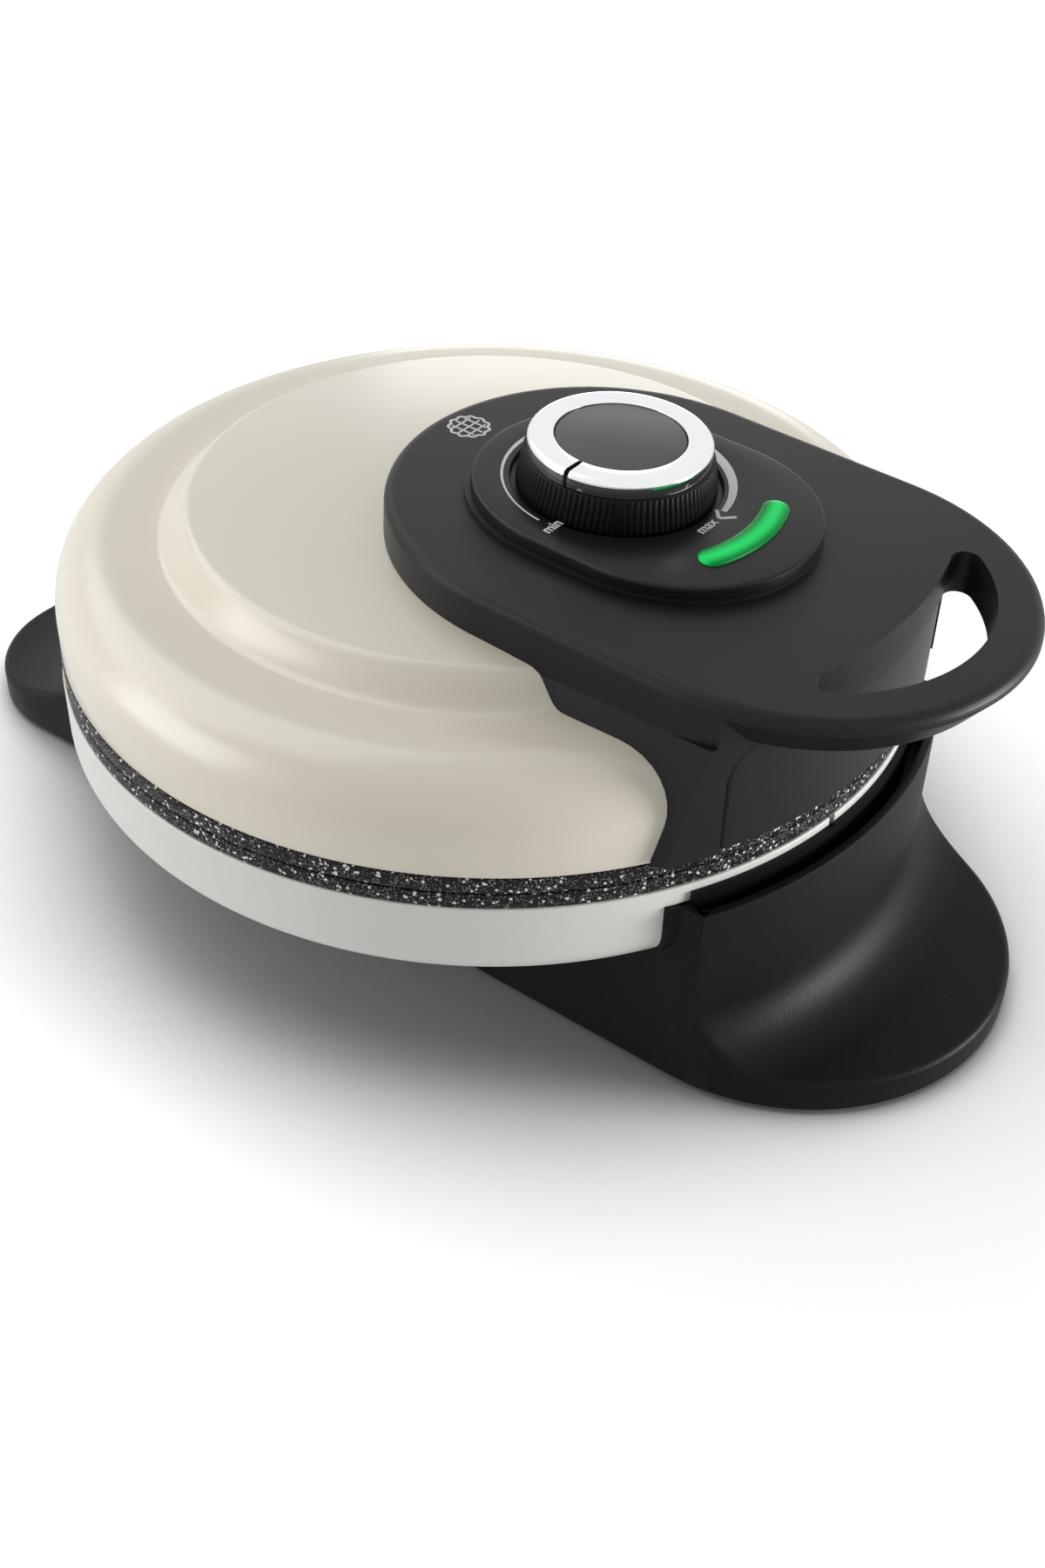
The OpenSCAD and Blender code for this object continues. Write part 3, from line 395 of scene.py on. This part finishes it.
def cheek(side):
    """A flat side wall, one section for each y.

    Its top follows the circle of the pan's edge, which it touches, and its front end bends
    in along the toe's circle up to the cup wall.
    """
    cup_at, step_at = 102.16, 94.85
    y = np.concatenate((np.linspace(-cup_at, -step_at - 0.05, 4),
                        np.linspace(-step_at + 0.05, -84, 16), np.linspace(-80, 80, 20),
                        np.linspace(84, 94, 14), [96, cup_at]))
    out = np.clip(np.hypot(half_width, y) - pan_edge_r, 0, pan_edge)
    top = np.minimum(pan_edge_z - np.sqrt(pan_edge ** 2 - out ** 2), rear_top)
    top = np.where(y < -step_at, cup_top, top)[:, None]
    face = np.sqrt(half_width ** 2 - np.clip(-y - toe_centre, 0, None) ** 2)[:, None]
    x = face - np.array([0, 0, 0, 0.15, 0.5, wall_w, wall_w, wall_w, wall_w, 0.4])
    share = np.array([0, 0.5, 1, 1, 1, 1, 0.5, 0, 0, 0])
    rise = np.array([0.4, 0, -0.5, -0.15, 0, 0, 0, cover_recess, 0, 0])
    z = skirt_z + share * (top - skirt_z) + rise
    return capped(np.stack((side * x + 0 * z, y[:, None] + 0 * z, z), axis=-1))


def gate_lip(side):
    """The cup wall's end: a thin lip along the pan's wall and round its bottom edge."""
    lip_starts, lip_ends, lip_w = 28.2, 32.0, 1.2
    run, tip = np.linspace(lip_starts, lip_ends - 0.3, 9), lip_ends - np.array([0.15, 0.05, 0])
    angle = np.radians(np.append(run, tip))[:, None]
    grow = lip_w * np.append(np.ones(9), [0.9, 0.6, 0.1])[:, None]
    lean = np.radians(np.linspace(90, 20, 8))
    around = np.concatenate((np.full(4, np.pi / 2), lean, lean[::-1]))
    out = pan_edge - 0.2 + grow * np.concatenate(([0, 0.17, 0.83], np.ones(9), np.zeros(8)))
    r, z = pan_edge_r + out * np.sin(around), pan_edge_z - out * np.cos(around)
    z[:, :4] = cup_top - np.array([0.3, 0, 0, 0.3])
    return capped(np.stack((side * r * np.sin(angle), -r * np.cos(angle), z), axis=-1))


def ear(side):
    """A hinge ear: a tapered upright with a round head and softened sides."""
    ear_x, ear_w, ear_low, ear_top, head_r = 13.5, 8.0, 24.0, 66.3, 6.0
    outline = rounded([[111, ear_low, 0.4], [132.5, ear_low, 0.4], [125.2, ear_top, head_r],
                       [112.0, ear_top, head_r]])
    soft = [(0, 0.6), (0.2, 0.2), (0.6, 0)]
    body = layered(outline, soft + [(ear_w - h, depth) for h, depth in reversed(soft)])
    return placed(body, ([0, 1, 0], [0, 0, 1], [side, 0, 0]), [side * ear_x, 0, 0])


# The rays lie closer together near the cheeks, and each gate, where the moat ends, has two.
edge, gate = math.asin(half_width / cup_r), math.radians(28.35)
rays = edge * np.sin(np.linspace(-np.pi / 2, np.pi / 2, 121))
front = np.sort(np.concatenate((rays, [-gate, -gate + 1e-5, gate - 1e-5, gate])))
reach = toe_centre * np.cos(front)
reach = reach + np.sqrt(half_width ** 2 - (toe_centre * np.sin(front)) ** 2)
toe = foot(front, np.abs(front) > gate - 1e-6, -1, cup_top, reach, toe_top)

# A ray ends at the flat side, the flat back or the round corner of the heel.
sine, cosine = np.abs(np.sin(rays)), np.cos(rays)
corner_x, corner_y = heel_corner
to_side, to_back = half_width / np.maximum(sine, 1e-9), heel_back / cosine
middle = corner_x * sine + corner_y * cosine
to_corner = middle + np.sqrt(np.maximum(
    middle ** 2 - corner_x ** 2 - corner_y ** 2 + heel_corner_r ** 2, 0))
reach = np.where(to_side * cosine < corner_y, to_side,
                 np.where(to_back * sine < corner_x, to_back, to_corner))
heel = foot(rays, np.ones(len(rays), bool), 1, rear_top, reach, heel_top)
pairs = [make(side) for make in (cheek, gate_lip, ear) for side in (-1, 1)]
piece("base_housing_shell", [placed(part, *shells) for part in (toe, heel, *pairs)],
      "base", black_nylon, ["base_housing"])

# --- Under the base -----------------------------------------------------------------------
# A vented cover closes the housing from below. Four screws hold it, and the machine stands
# on four rubber discs that are glued into its seats.


def dress(finish, *names):
    """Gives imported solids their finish."""
    for name in names:
        for slot in solid[name].material_slots:
            slot.material = finish.material


dress(moulded("cover_nylon", (0.024, 0.024, 0.026), 0.55, 1.2e-5), "bottom_cover")

rubber = Finish("moulded_rubber")
dust = rubber.noise(240, 4, 0.65).between(0.45, 0.8)
rubber.shade({"Base Color": rubber.blend(dust, grey(0.020), (0.055, 0.053, 0.050)),
              "Roughness": dust * 0.2 + 0.65,
              "Normal": rubber.bump(rubber.noise(1500, 2), 2e-5)})
dress(rubber, "rubber_feet", "cord_bushing")


def metal(name, colour, roughness, brushed=0.0):
    """Bare or plated metal: fine streaks along X for a drawn sheet, and dull clouds."""
    finish = Finish(name)
    cloud = finish.noise(60, 4, 0.6)
    drawn = finish.node("Mapping", None, {"Vector": finish.place, "Scale": (0.03, 1.0, 1.0)})
    streak = finish.noise(4200, 2, place=drawn)
    tone = finish.blend(cloud, tuple(c * 0.85 for c in colour), colour)
    finish.shade({"Base Color": tone, "Metallic": 1.0,
                  "Roughness": cloud * 0.12 + streak * brushed + (roughness - 0.06),
                  "Normal": finish.bump(streak, 3e-6)})
    return finish


dress(metal("zinc_plate", (0.62, 0.63, 0.65), 0.30), "cover_screws", "shell_screws",
      "handle_screws", "hinge_screws", "hinge_pin", "dial_shaft", "dial_nut")

# --- Lower shell --------------------------------------------------------------------------
# A deep-drawn steel pan with a soft bottom edge and a hem that carries the lower plate. It is
# stoved with a warm off-white enamel. A small sight notch is cut in the rim near the front.
pan_r, pan_floor, hem_top, hem_r, bore_r, sheet = 110.0, 38.0, 60.0, 106.0, 7.0, 1.0
notch_at, notch_half, notch_floor = math.radians(-6.74), math.radians(0.55), 53.0


def turned(profile, angles=None, cut=None):
    """A closed profile (radius, height) carried round Z: x = r sin a, y = -r cos a.

    cut, if given, is a function of the angles and the points' heights that lowers some.
    """
    angles = np.linspace(0, 2 * np.pi, 240, endpoint=False) if angles is None else angles
    r, z = np.asarray(profile, float).T[:, :, None]
    z = z + 0 * angles
    z = cut(angles, z) if cut else z
    return skin(np.stack((r * np.sin(angles), -r * np.cos(angles), z), axis=-1), True, True)


def bend(x, z, r, start, end, steps=10):
    """Points on an arc round (x, z) in the plane of a profile, angles in degrees."""
    t = np.radians(np.linspace(start, end, steps + 1))
    return np.column_stack((x + r * np.cos(t), z + r * np.sin(t)))


def notched(at, half, floor):
    """The angles and the cut of a notch from at - half to at + half.

    The cut lowers every point above floor between them, and each side has two close angles.
    """
    def cut(angles, z):
        inside = np.abs((angles - at + np.pi) % (2 * np.pi) - np.pi) < half
        return np.where(inside & (z > floor), floor, z)
    steps = np.array([-half, -half, half, half]) + [-2e-5, 2e-5, -2e-5, 2e-5]
    return np.sort(np.concatenate((np.linspace(0, 2 * np.pi, 360, endpoint=False),
                                   (at + steps) % (2 * np.pi)))), cut


def enamel(name, colour, roughness, coat):
    """Stoved enamel on steel: a faint orange peel under a clear gloss, and small clouds."""
    finish = Finish(name)
    cloud = finish.noise(14, 3)
    tone = finish.blend(cloud, tuple(c * 0.975 for c in colour), colour)
    peel = finish.noise(520, 2, 0.4)
    finish.shade({"Base Color": tone, "Roughness": cloud * 0.06 + (roughness - 0.03),
                  "Normal": finish.bump(peel, 4e-6), "IOR": 1.5, "Coat Weight": coat,
                  "Coat Roughness": 0.24})
    return finish


shell_paint = enamel("shell_enamel", (0.70, 0.685, 0.65), 0.42, 0.25)
corner = pan_edge_z - pan_floor
outer = np.vstack(([[bore_r, pan_floor], [pan_edge_r - 1, pan_floor]],
                   bend(pan_edge_r, pan_edge_z, corner, -90, 0, 14),
                   [[pan_r, 48.5], [pan_r, hem_top - 0.5]],
                   bend(pan_r - 0.4, hem_top - 0.4, 0.4, 0, 90, 3)))
inner = np.vstack(([[hem_r, hem_top], [hem_r, hem_top - sheet],
                    [pan_r - sheet, hem_top - sheet], [pan_r - sheet, pan_edge_z]],
                   bend(pan_edge_r, pan_edge_z, corner - sheet, 0, -90),
                   [[bore_r, pan_floor + sheet]]))
pan = turned(np.vstack((outer, inner)), *notched(notch_at, notch_half, notch_floor))
piece("lower_shell_pan", [placed(pan, *shells)], "base", shell_paint,
      ["lower_shell"])

# --- Lower cooking plate ------------------------------------------------------------------
# Die-cast aluminium with a square grid of pegs that mould the waffle, and a groove that
# catches the batter which runs over. A mineral-flecked non-stick coating covers it.
plate_top, plate_r, cavity_floor = 64.0, 109.6, 58.0
peg_pitch, peg_reach, peg_half = 15.0, 87.0, 4.0


def fleck_layer(finish, scale, share, place):
    """Mineral flecks: one in a few cells of a bent honeycomb is a grain, 0 or 1."""
    cell = finish.node("TexVoronoi", None, {"Vector": place, "Scale": scale}, out="Color")
    chance = finish.node("SeparateColor", None, {0: cell})
    size = finish.node("TexVoronoi", None, {"Vector": place, "Scale": scale})
    return chance.math("LESS_THAN", share) * size.math("LESS_THAN", 0.42)


coating = Finish("flecked_coating")
warp = coating.node("TexNoise", None, {"Vector": coating.place, "Scale": 700.0}, out="Color")
warp = coating.node("VectorMath", {"operation": "SCALE"}, {0: warp, "Scale": 0.0009})
warp = coating.node("VectorMath", {"operation": "ADD"}, {0: coating.place, 1: warp})
big, small = fleck_layer(coating, 1100, 0.17, warp), fleck_layer(coating, 2300, 0.42, warp)
tone = coating.blend(small * 0.6, (0.006, 0.006, 0.007), grey(0.34))
tone = coating.blend(big, tone, (0.72, 0.71, 0.69))
coating.shade({"Base Color": tone, "Roughness": coating.noise(300, 2) * 0.15 + 0.38,
               "Specular IOR Level": 0.2,
               "Normal": coating.bump(coating.noise(1800, 3), 1e-5)})


def casting(groove):
    """Section of a plate that lies cavity up, from the axis under it to the axis above it."""
    drip = [[103.2, plate_top], [102.9, 63.8], [102.7, 62.7], [102.4, 62.5], [100.6, 62.5],
            [100.3, 62.7], [100.1, 63.8], [99.8, plate_top]] if groove else []
    return np.array([[0, 55], [98, 55], [98, 60], [109.0, 60], [109.45, 60.15],
                     [plate_r, 60.6], [plate_r, 63.4], [109.45, 63.85], [109.0, plate_top],
                     *drip, [95.6, plate_top], [95.1, 63.85], [94.8, 63.4],
                     [93.3, cavity_floor + 0.5], [92.9, cavity_floor + 0.1],
                     [92.2, cavity_floor], [0, cavity_floor]], float)


half_cells = peg_pitch * (np.arange(-7, 7) + 0.5)
spots = np.stack(np.meshgrid(half_cells, half_cells), -1).reshape(-1, 2)
spots = spots[np.hypot(*spots.T) < peg_reach]
spots = np.column_stack((spots, np.full(len(spots), cavity_floor)))
peg = layered(rounded([[x * peg_half, y * peg_half, 1.4] for x, y in
                       ((-1, -1), (1, -1), (1, 1), (-1, 1))], 3),
              [(-0.1, -0.3), (0.25, 0.05), (3.3, 0.35), (3.7, 0.6), (3.9, 1.1)])


def repeated(part, spots):
    """The part once at every spot."""
    points, faces = part
    jump = (np.arange(len(spots)) * len(points))[:, None, None]
    return ((spots[:, None] + points).reshape(-1, 3),
            [(jump + group).reshape(-1, group.shape[1]) for group in faces])


pegs = repeated(peg, spots)
piece("lower_plate_casting", [placed(part, *shells) for part in (turned(casting(True)), pegs)],
      "base", coating, ["lower_plate"])

# --- Inside the shells --------------------------------------------------------------------
# A sheathed heater is cast to the back of each plate, with a dished reflector behind it, and
# posts hold the plates. The fuse and the ceramic terminal block sit in the base, and the
# thermostat sits in the lid under the dial.
incoloy = metal("heater_sheath", (0.30, 0.30, 0.31), 0.42)
tinplate = metal("reflector_sheet", (0.70, 0.71, 0.72), 0.24, 0.15)
steatite = Finish("steatite")
grit = steatite.noise(900, 3)
steatite.shade({"Base Color": steatite.blend(grit, (0.60, 0.57, 0.50), (0.68, 0.65, 0.58)),
                "Roughness": 0.6, "Normal": steatite.bump(grit, 1e-5)})
dress(incoloy, "lower_heater", "upper_heater")
dress(tinplate, "lower_reflector", "upper_reflector", "lower_posts", "upper_posts")
dress(steatite, "terminal_block", "thermal_fuse", "thermostat")

# --- Lid ----------------------------------------------------------------------------------
# A spun steel cover: a low wall, a round shoulder, a flat ring, and a step up to a shallow
# crown. It is stoved with a glossier cream enamel than the pan's.
lid_r, shoulder_r, ring_z, lid_hem_z = 109.3, 14.5, 92.3, 68.3
step_r, step_w, step_h, crown_h = 83.5, 9.0, 7.5, 4.5
lid_paint = enamel("lid_enamel", (0.745, 0.695, 0.58), 0.30, 0.6)
s = np.linspace(0, 1, 19)[:, None]
step = np.hstack((step_r - step_w * s, ring_z + step_h / 2 * (1 - np.cos(np.pi * s))))
s = np.linspace(1, 0.1, 28)[1:, None]
crown = np.hstack(((step_r - step_w) * s, ring_z + step_h + crown_h * (1 - s ** 2)))
outside = np.vstack(([[lid_r, lid_hem_z + 0.6], [lid_r, 76.5]],
                     bend(lid_r - shoulder_r, ring_z - shoulder_r, shoulder_r, 0, 90, 20),
                     [[92, ring_z], [86, ring_z]], step, crown))
along = np.gradient(outside, axis=0)
inward = np.column_stack((-along[:, 1], along[:, 0])) / np.linalg.norm(along, axis=1)[:, None]
hem = [[lid_r - 4, lid_hem_z + sheet], [lid_r - 4, lid_hem_z], [lid_r - 0.6, lid_hem_z],
       [lid_r - 0.18, lid_hem_z + 0.18]]
cover = np.vstack((hem, outside, (outside + sheet * inward)[::-1],
                   [[lid_r - sheet, lid_hem_z + sheet]]))
piece("lid_cover", [placed(turned(cover), *shells)], "lid", lid_paint,
      ["upper_shell"], sharp=40)

# --- Upper cooking plate ------------------------------------------------------------------
# The same casting turned over, without the groove. Posts hold it in the lid, and the pegs
# stand over those of the lower plate with the waffle between them.
parting_z = 64.15
over = np.diag([1, 1, -1]), [0, shell_y, 2 * parting_z]
piece("upper_plate_casting",
      [placed(part, *over) for part in (turned(casting(False)), pegs)],
      "lid", coating, ["upper_plate"])

# --- Handle and hinge block ---------------------------------------------------------------
# The handle is a hollow moulding screwed to the lid: a long deck, two cheeks on the dome and
# a loop out in front. A strip closes the loop and a curved panel the front. The hinge block
# behind it is moulded of the same nylon and turns on the pin.
handle_nylon = moulded("handle_nylon", (0.009, 0.009, 0.010), 0.40)
dress(handle_nylon, "handle_cover", "grip_underside", "hinge_block")

# The panel is a piece of a drum: z over x, with two round upper corners and a rolled edge.
panel_half, panel_low, panel_high, panel_corner = 48.6, 69.2, 96.9, 9.0
panel_r, panel_w = 111.6, 1.8
x = panel_half * np.sin(np.linspace(-np.pi / 2, np.pi / 2, 81))[:, None]
past = np.clip(np.abs(x) - panel_half + panel_corner, 0, panel_corner)
top = panel_high - panel_corner + np.sqrt(panel_corner ** 2 - past ** 2)
z = panel_low + (top - panel_low) * np.sin(np.linspace(0, np.pi / 2, 20))
past = np.stack((np.abs(x) - panel_half + panel_corner + 0 * z, z - panel_high + panel_corner))
inside = panel_corner - np.hypot(*np.clip(past, 0, None)) - np.minimum(past.max(axis=0), 0)
r, inner = panel_r - rolled_edge(inside, 0.7), 0 * x + panel_r - panel_w
r, z = np.hstack((r, inner, inner)), np.hstack((z, top, 0 * x + panel_low))
panel = capped(np.stack((x + 0 * r, -np.sqrt(r ** 2 - x ** 2), z), axis=-1))
piece("front_panel_curved", [placed(panel, *shells)], "lid", handle_nylon,
      ["front_panel"])

# --- Control plate ------------------------------------------------------------------------
# A raised round-ended plate clipped into the deck. It has a well for the dial and a window
# for the lamp, and it is polished a little more than the deck.
tilt, deck_y, deck_z = math.radians(2.35), -39.5, 112.1
deck_axes = ([1, 0, 0], [0, math.cos(tilt), math.sin(tilt)], [0, -math.sin(tilt), math.cos(tilt)])
deck = deck_axes, [0, deck_y, deck_z]
plate_end_r, plate_front, plate_h, plate_w = 34.0, -17.2, 4.1, 1.0
well_r, well_floor, bushing_r = 25.0, 2.9, 8.0


def stadium(r, front, h):
    """Two half circles of radius r round points at 0 and at front on Y, at height h."""
    t = np.linspace(0, np.pi, 96)
    half = np.column_stack((r * np.cos(t), r * np.sin(t)))
    flat = np.vstack((half, [0, front] - half))
    return np.column_stack((flat, np.full(len(flat), h)))


# Rows from the brim's underside over its rolled edge into the well, to the bushing's hole and
# back under the floor: (how far out from the brim's or the well's edge, height).
brim = [(-2.2, 0), (0, 0), (0, 3.3), (-0.13, 3.75), (-0.5, 4.03), (-1.0, plate_h)]
well = [(0.6, plate_h), (0.25, 4.05), (0.05, 3.8), (0, 3.0), (-0.1, well_floor),
        (bushing_r - well_r, well_floor), (bushing_r - well_r, well_floor - plate_w),
        (0, well_floor - plate_w)]
rows = ([stadium(plate_end_r + out, plate_front, h) for out, h in brim]
        + [stadium(well_r + out, 0.0, h) for out, h in well])
plate_nylon = moulded("plate_nylon", (0.006, 0.006, 0.007), 0.34, 6e-6)
piece("control_plate_cover", [placed(skin(np.stack(rows), True, True), *deck)], "lid",
      plate_nylon, ["control_plate"])

# --- Lamp ---------------------------------------------------------------------------------
# The ready lamp shines through a clear green acrylic cushion, bent to the dial's curve, that
# is pressed into the plate's window from below. A small diode stands on the deck under it.
lamp_r, lamp_half, lamp_w, lamp_h = 37.7, math.radians(21), 6.5, 1.0
t = np.linspace(-lamp_half, lamp_half, 33)
ends = np.linspace(0, np.pi, 13)[1:-1]


def lamp_side(r):
    """An arc of radius r round the dial's axis, from one end of the bar to the other."""
    return np.column_stack((r * np.sin(t), -r * np.cos(t)))


def lamp_end(side):
    """Half circle round the bar's end, from its outer to its inner side."""
    out = np.array([side * math.sin(lamp_half), -math.cos(lamp_half)])
    across = np.array([side * math.cos(lamp_half), math.sin(lamp_half)])
    arc = lamp_w / 2 * (np.cos(ends)[:, None] * out + np.sin(ends)[:, None] * across)
    return lamp_r * out + arc


outline = np.vstack((lamp_side(lamp_r + lamp_w / 2), lamp_end(1),
                     lamp_side(lamp_r - lamp_w / 2)[::-1], lamp_end(-1)[::-1]))
cushion = [(-2.2, 0.0), (0.35, 0.0), (0.6, 0.12), (0.82, 0.45), (0.95, 1.0), (lamp_h, 1.8)]

# The lamp's own glow, and the colour under it, are painted bright along the bar's middle as a
# highlight and dark towards its edge as shade. The dial's axis leans with the deck, so its
# place on Y, in metres, is taken 8 mm over the plate.
dial_y = (deck_y - (plate_h + 8) * math.sin(tilt)) / 1000
lens = Finish("green_acrylic")
x, y = lens.along("X"), lens.along("Y") - dial_y
r = (x * x + y * y).math("SQRT")
edge = (r - lamp_r / 1000).math("ABSOLUTE").between(0.2e-3, lamp_w / 2000)
edge = edge + lens.noise(90, 2) * 0.2
# Painted highlight and shade: colour and glow are brighter along the middle and darker at the
# edge.
lens.shade({"Base Color": lens.blend(edge, (0.003, 0.30, 0.06), (0.001, 0.12, 0.02)),
            "Roughness": 0.25, "IOR": 1.49, "Specular IOR Level": 0.08,
            "Emission Color": lens.blend(edge, (0.014, 0.58, 0.12), (0.001, 0.12, 0.02)),
            "Emission Strength": 0.8})
bar = layered(outline, [(plate_h + rise, depth) for rise, depth in cushion])
piece("lamp_cushion", [placed(bar, *deck)], "lid", lens, ["lamp_lens"], sharp=60)
diode = Finish("diode")
diode.shade({"Base Color": diode.blend(diode.noise(400), (0.6, 0.8, 0.6), (0.7, 0.9, 0.7)),
             "Roughness": 0.2})
dress(diode, "indicator_lamp")

# --- Dial ---------------------------------------------------------------------------------
# The temperature dial has a ribbed black skirt, a plated ring whose notch points at the
# scale, and a satin disc pressed into the ring.
knurls, knurl_depth, skirt_r, skirt_draw, skirt_low, skirt_top = 100, 0.3, 23.8, 1.4, 3.4, 11.5
dial_ring_r, ring_top, ring_roll, disc_r = 21.7, 15.6, 1.3, 15.35
angles = np.linspace(0, 2 * np.pi, knurls * 8, endpoint=False)
share = np.array([0, 0, 0.03, 0.5, 0.94, 1.0, 1.0])
h = np.array([skirt_low, skirt_low + 0.2, skirt_low + 0.45, 8, skirt_top - 0.4,
              skirt_top - 0.1, skirt_top])
depth = knurl_depth * np.array([0.0, 0.4, 1, 1, 1, 0.5, 0.0])[:, None]
rib = (0.5 + 0.5 * np.cos(knurls * angles)) ** 2
r = (skirt_r - skirt_draw * share)[:, None] - depth * rib
r = r - [[0.35], [0.08], [0], [0], [0], [0.1], [0.35]]
side = np.stack((r * np.sin(angles), -r * np.cos(angles), h[:, None] + 0 * r), -1)
skirt_nylon = moulded("dial_nylon", (0.003, 0.003, 0.0035), 0.36, 4e-6, 0.1)
piece("dial_skirt_ribbed", [placed(capped(side), *deck)], "dial", skirt_nylon,
      ["dial_skirt"], sharp=50)

pointer_half, pointer_floor, pointer_ink = 0.6 / 20, 14.2, 0.55
ring = np.vstack(([[15.5, skirt_top], [21.3, skirt_top], [21.6, skirt_top + 0.15],
                   [dial_ring_r, skirt_top + 0.5], [dial_ring_r, pointer_floor]],
                  bend(dial_ring_r - ring_roll, ring_top - ring_roll, ring_roll, 0, 90, 6),
                  [[15.9, ring_top], [15.6, 15.5], [15.5, 15.2]]))
chrome = Finish("chrome_plate")
haze = chrome.noise(45, 3)
inked = (chrome.along("Y") - dial_y).math("ABSOLUTE").math("LESS_THAN", pointer_ink / 1000)
inked = inked * chrome.along("X").math("LESS_THAN", 0.0)
chrome.shade({"Base Color": chrome.blend(inked, (0.86, 0.87, 0.88), grey(0.01)),
              "Metallic": 1 - inked, "Roughness": haze * 0.06 + 0.07,
              "Normal": chrome.bump(chrome.noise(900, 2), 5e-7)})
ring = turned(ring, *notched(1.5 * np.pi, pointer_half, pointer_floor))
piece("dial_ring_chrome", [placed(ring, *deck)], "dial", chrome, ["dial_ring"])

disc_low, disc_top = 13.3, 15.3
disc = [[0, disc_low], [disc_r, disc_low], [disc_r, disc_top - 0.35], [15.2, disc_top - 0.1],
        [14.9, disc_top], [0, disc_top]]
satin = Finish("satin_disc")
grain = satin.noise(1400, 3)
satin.shade({"Base Color": satin.blend(grain, (0.050, 0.050, 0.053), (0.065, 0.065, 0.068)),
             "Metallic": 0.2, "Roughness": grain * 0.1 + 0.38,
             "Normal": satin.bump(grain, 2e-6)})
piece("dial_cap_satin", [placed(turned(disc), *deck)], "dial", satin, ["dial_cap"])

# --- Prints -------------------------------------------------------------------------------
# White ink, pad-printed: the dial's scale with its two words on the plate, and a small waffle
# pictogram on the deck behind it.
ink_h, letter_h, scale_r, arrow_w = 0.05, 3.9, 26.6, 0.9
waffle_r, bar_r, bar_pitch, scallop_w, bar_w = 4.9, 4.2, 2.4, 0.7, 0.55


def ribbon(path, width, base, closed=False):
    """A printed line: a rectangle of the given width, from ink_h under base to ink_h over it."""
    along = np.roll(path, -1, 0) - np.roll(path, 1, 0) if closed else np.gradient(path, axis=0)
    across = np.column_stack((-along[:, 1], along[:, 0]))
    across *= (width / 2 / np.linalg.norm(across, axis=1))[:, None]
    corners = ((1, -ink_h), (1, ink_h), (-1, ink_h), (-1, -ink_h))
    rows = np.stack([np.column_stack((path + side * across, np.full(len(path), base + rise)))
                     for side, rise in corners], axis=1)
    return skin(rows, True, True) if closed else capped(rows)


def word(text, at, base):
    """A word in plain sans letters, as thin slabs whose baseline starts at a point."""
    curve = bpy.data.curves.new(text, "FONT")
    curve.body, curve.size, curve.extrude, curve.offset = text, letter_h, ink_h, 0.06
    typed = bpy.data.objects.new(text, curve)
    mesh = typed.to_mesh()
    mesh.calc_loop_triangles()
    points = np.empty(len(mesh.vertices) * 3)
    mesh.vertices.foreach_get("co", points)
    faces = np.empty(len(mesh.loop_triangles) * 3, int)
    mesh.loop_triangles.foreach_get("vertices", faces)
    typed.to_mesh_clear()
    bpy.data.objects.remove(typed)
    return points.reshape(-1, 3) + [*at, base], [faces.reshape(-1, 3)]


# The scale is a crescent that swells and thins again clockwise, and ends in an arrow head.
s = np.linspace(0, 1, 120)
t = np.radians(174 - 254 * s)
width = 0.45 + 2.3 * np.sin(np.pi * s ** 1.3 * 0.78) ** 2
r = scale_r + width * (0.6 - 0.3 * s)
crescent = np.column_stack((r * np.cos(t), r * np.sin(t)))
tip, wings = np.array([1.5, -27.4]), np.array([[4.2, -25.0], [4.6, -30.2]])
t = np.linspace(0, 1, 5)[:, None]
head = [ribbon(tip + t * (wing - tip), np.full(5, arrow_w), plate_h) for wing in wings]
scale = [ribbon(crescent, width, plate_h), *head,
         word("min", (-29.8, -2.2), plate_h), word("max", (-6.6, -28.3), plate_h)]

# The pictogram is a scalloped circle with three bars each way, chords of a smaller circle.
t = np.radians(np.arange(0, 360, 3))
scallop = (waffle_r + 0.28 * np.cos(11 * t))[:, None] * np.column_stack((np.cos(t), np.sin(t)))
bars = []
for offset in (-bar_pitch, 0.0, bar_pitch):
    reach = math.sqrt(bar_r ** 2 - offset ** 2)
    run = np.linspace(-reach, reach, 9)
    bars += [np.column_stack((run, 0 * run + offset)), np.column_stack((0 * run + offset, run))]
waffle = [ribbon(scallop, np.full(len(t), scallop_w), 0.0, closed=True)]
waffle += [ribbon(bar, np.full(len(bar), bar_w), 0.0) for bar in bars]
ink = Finish("white_ink")
thin = ink.noise(1800, 3)
ink.shade({"Base Color": ink.blend(thin, grey(0.60), grey(0.74)), "Roughness": 0.5,
           "Normal": ink.bump(thin, 4e-6)})
piece("scale_print", [placed(part, *deck) for part in scale], "lid", ink, [])
centre = deck[1] + np.array([1.5, 45.0, 0.0]) @ np.array(deck[0])
piece("waffle_print", [placed(part, deck[0], centre) for part in waffle], "lid",
      ink, [])
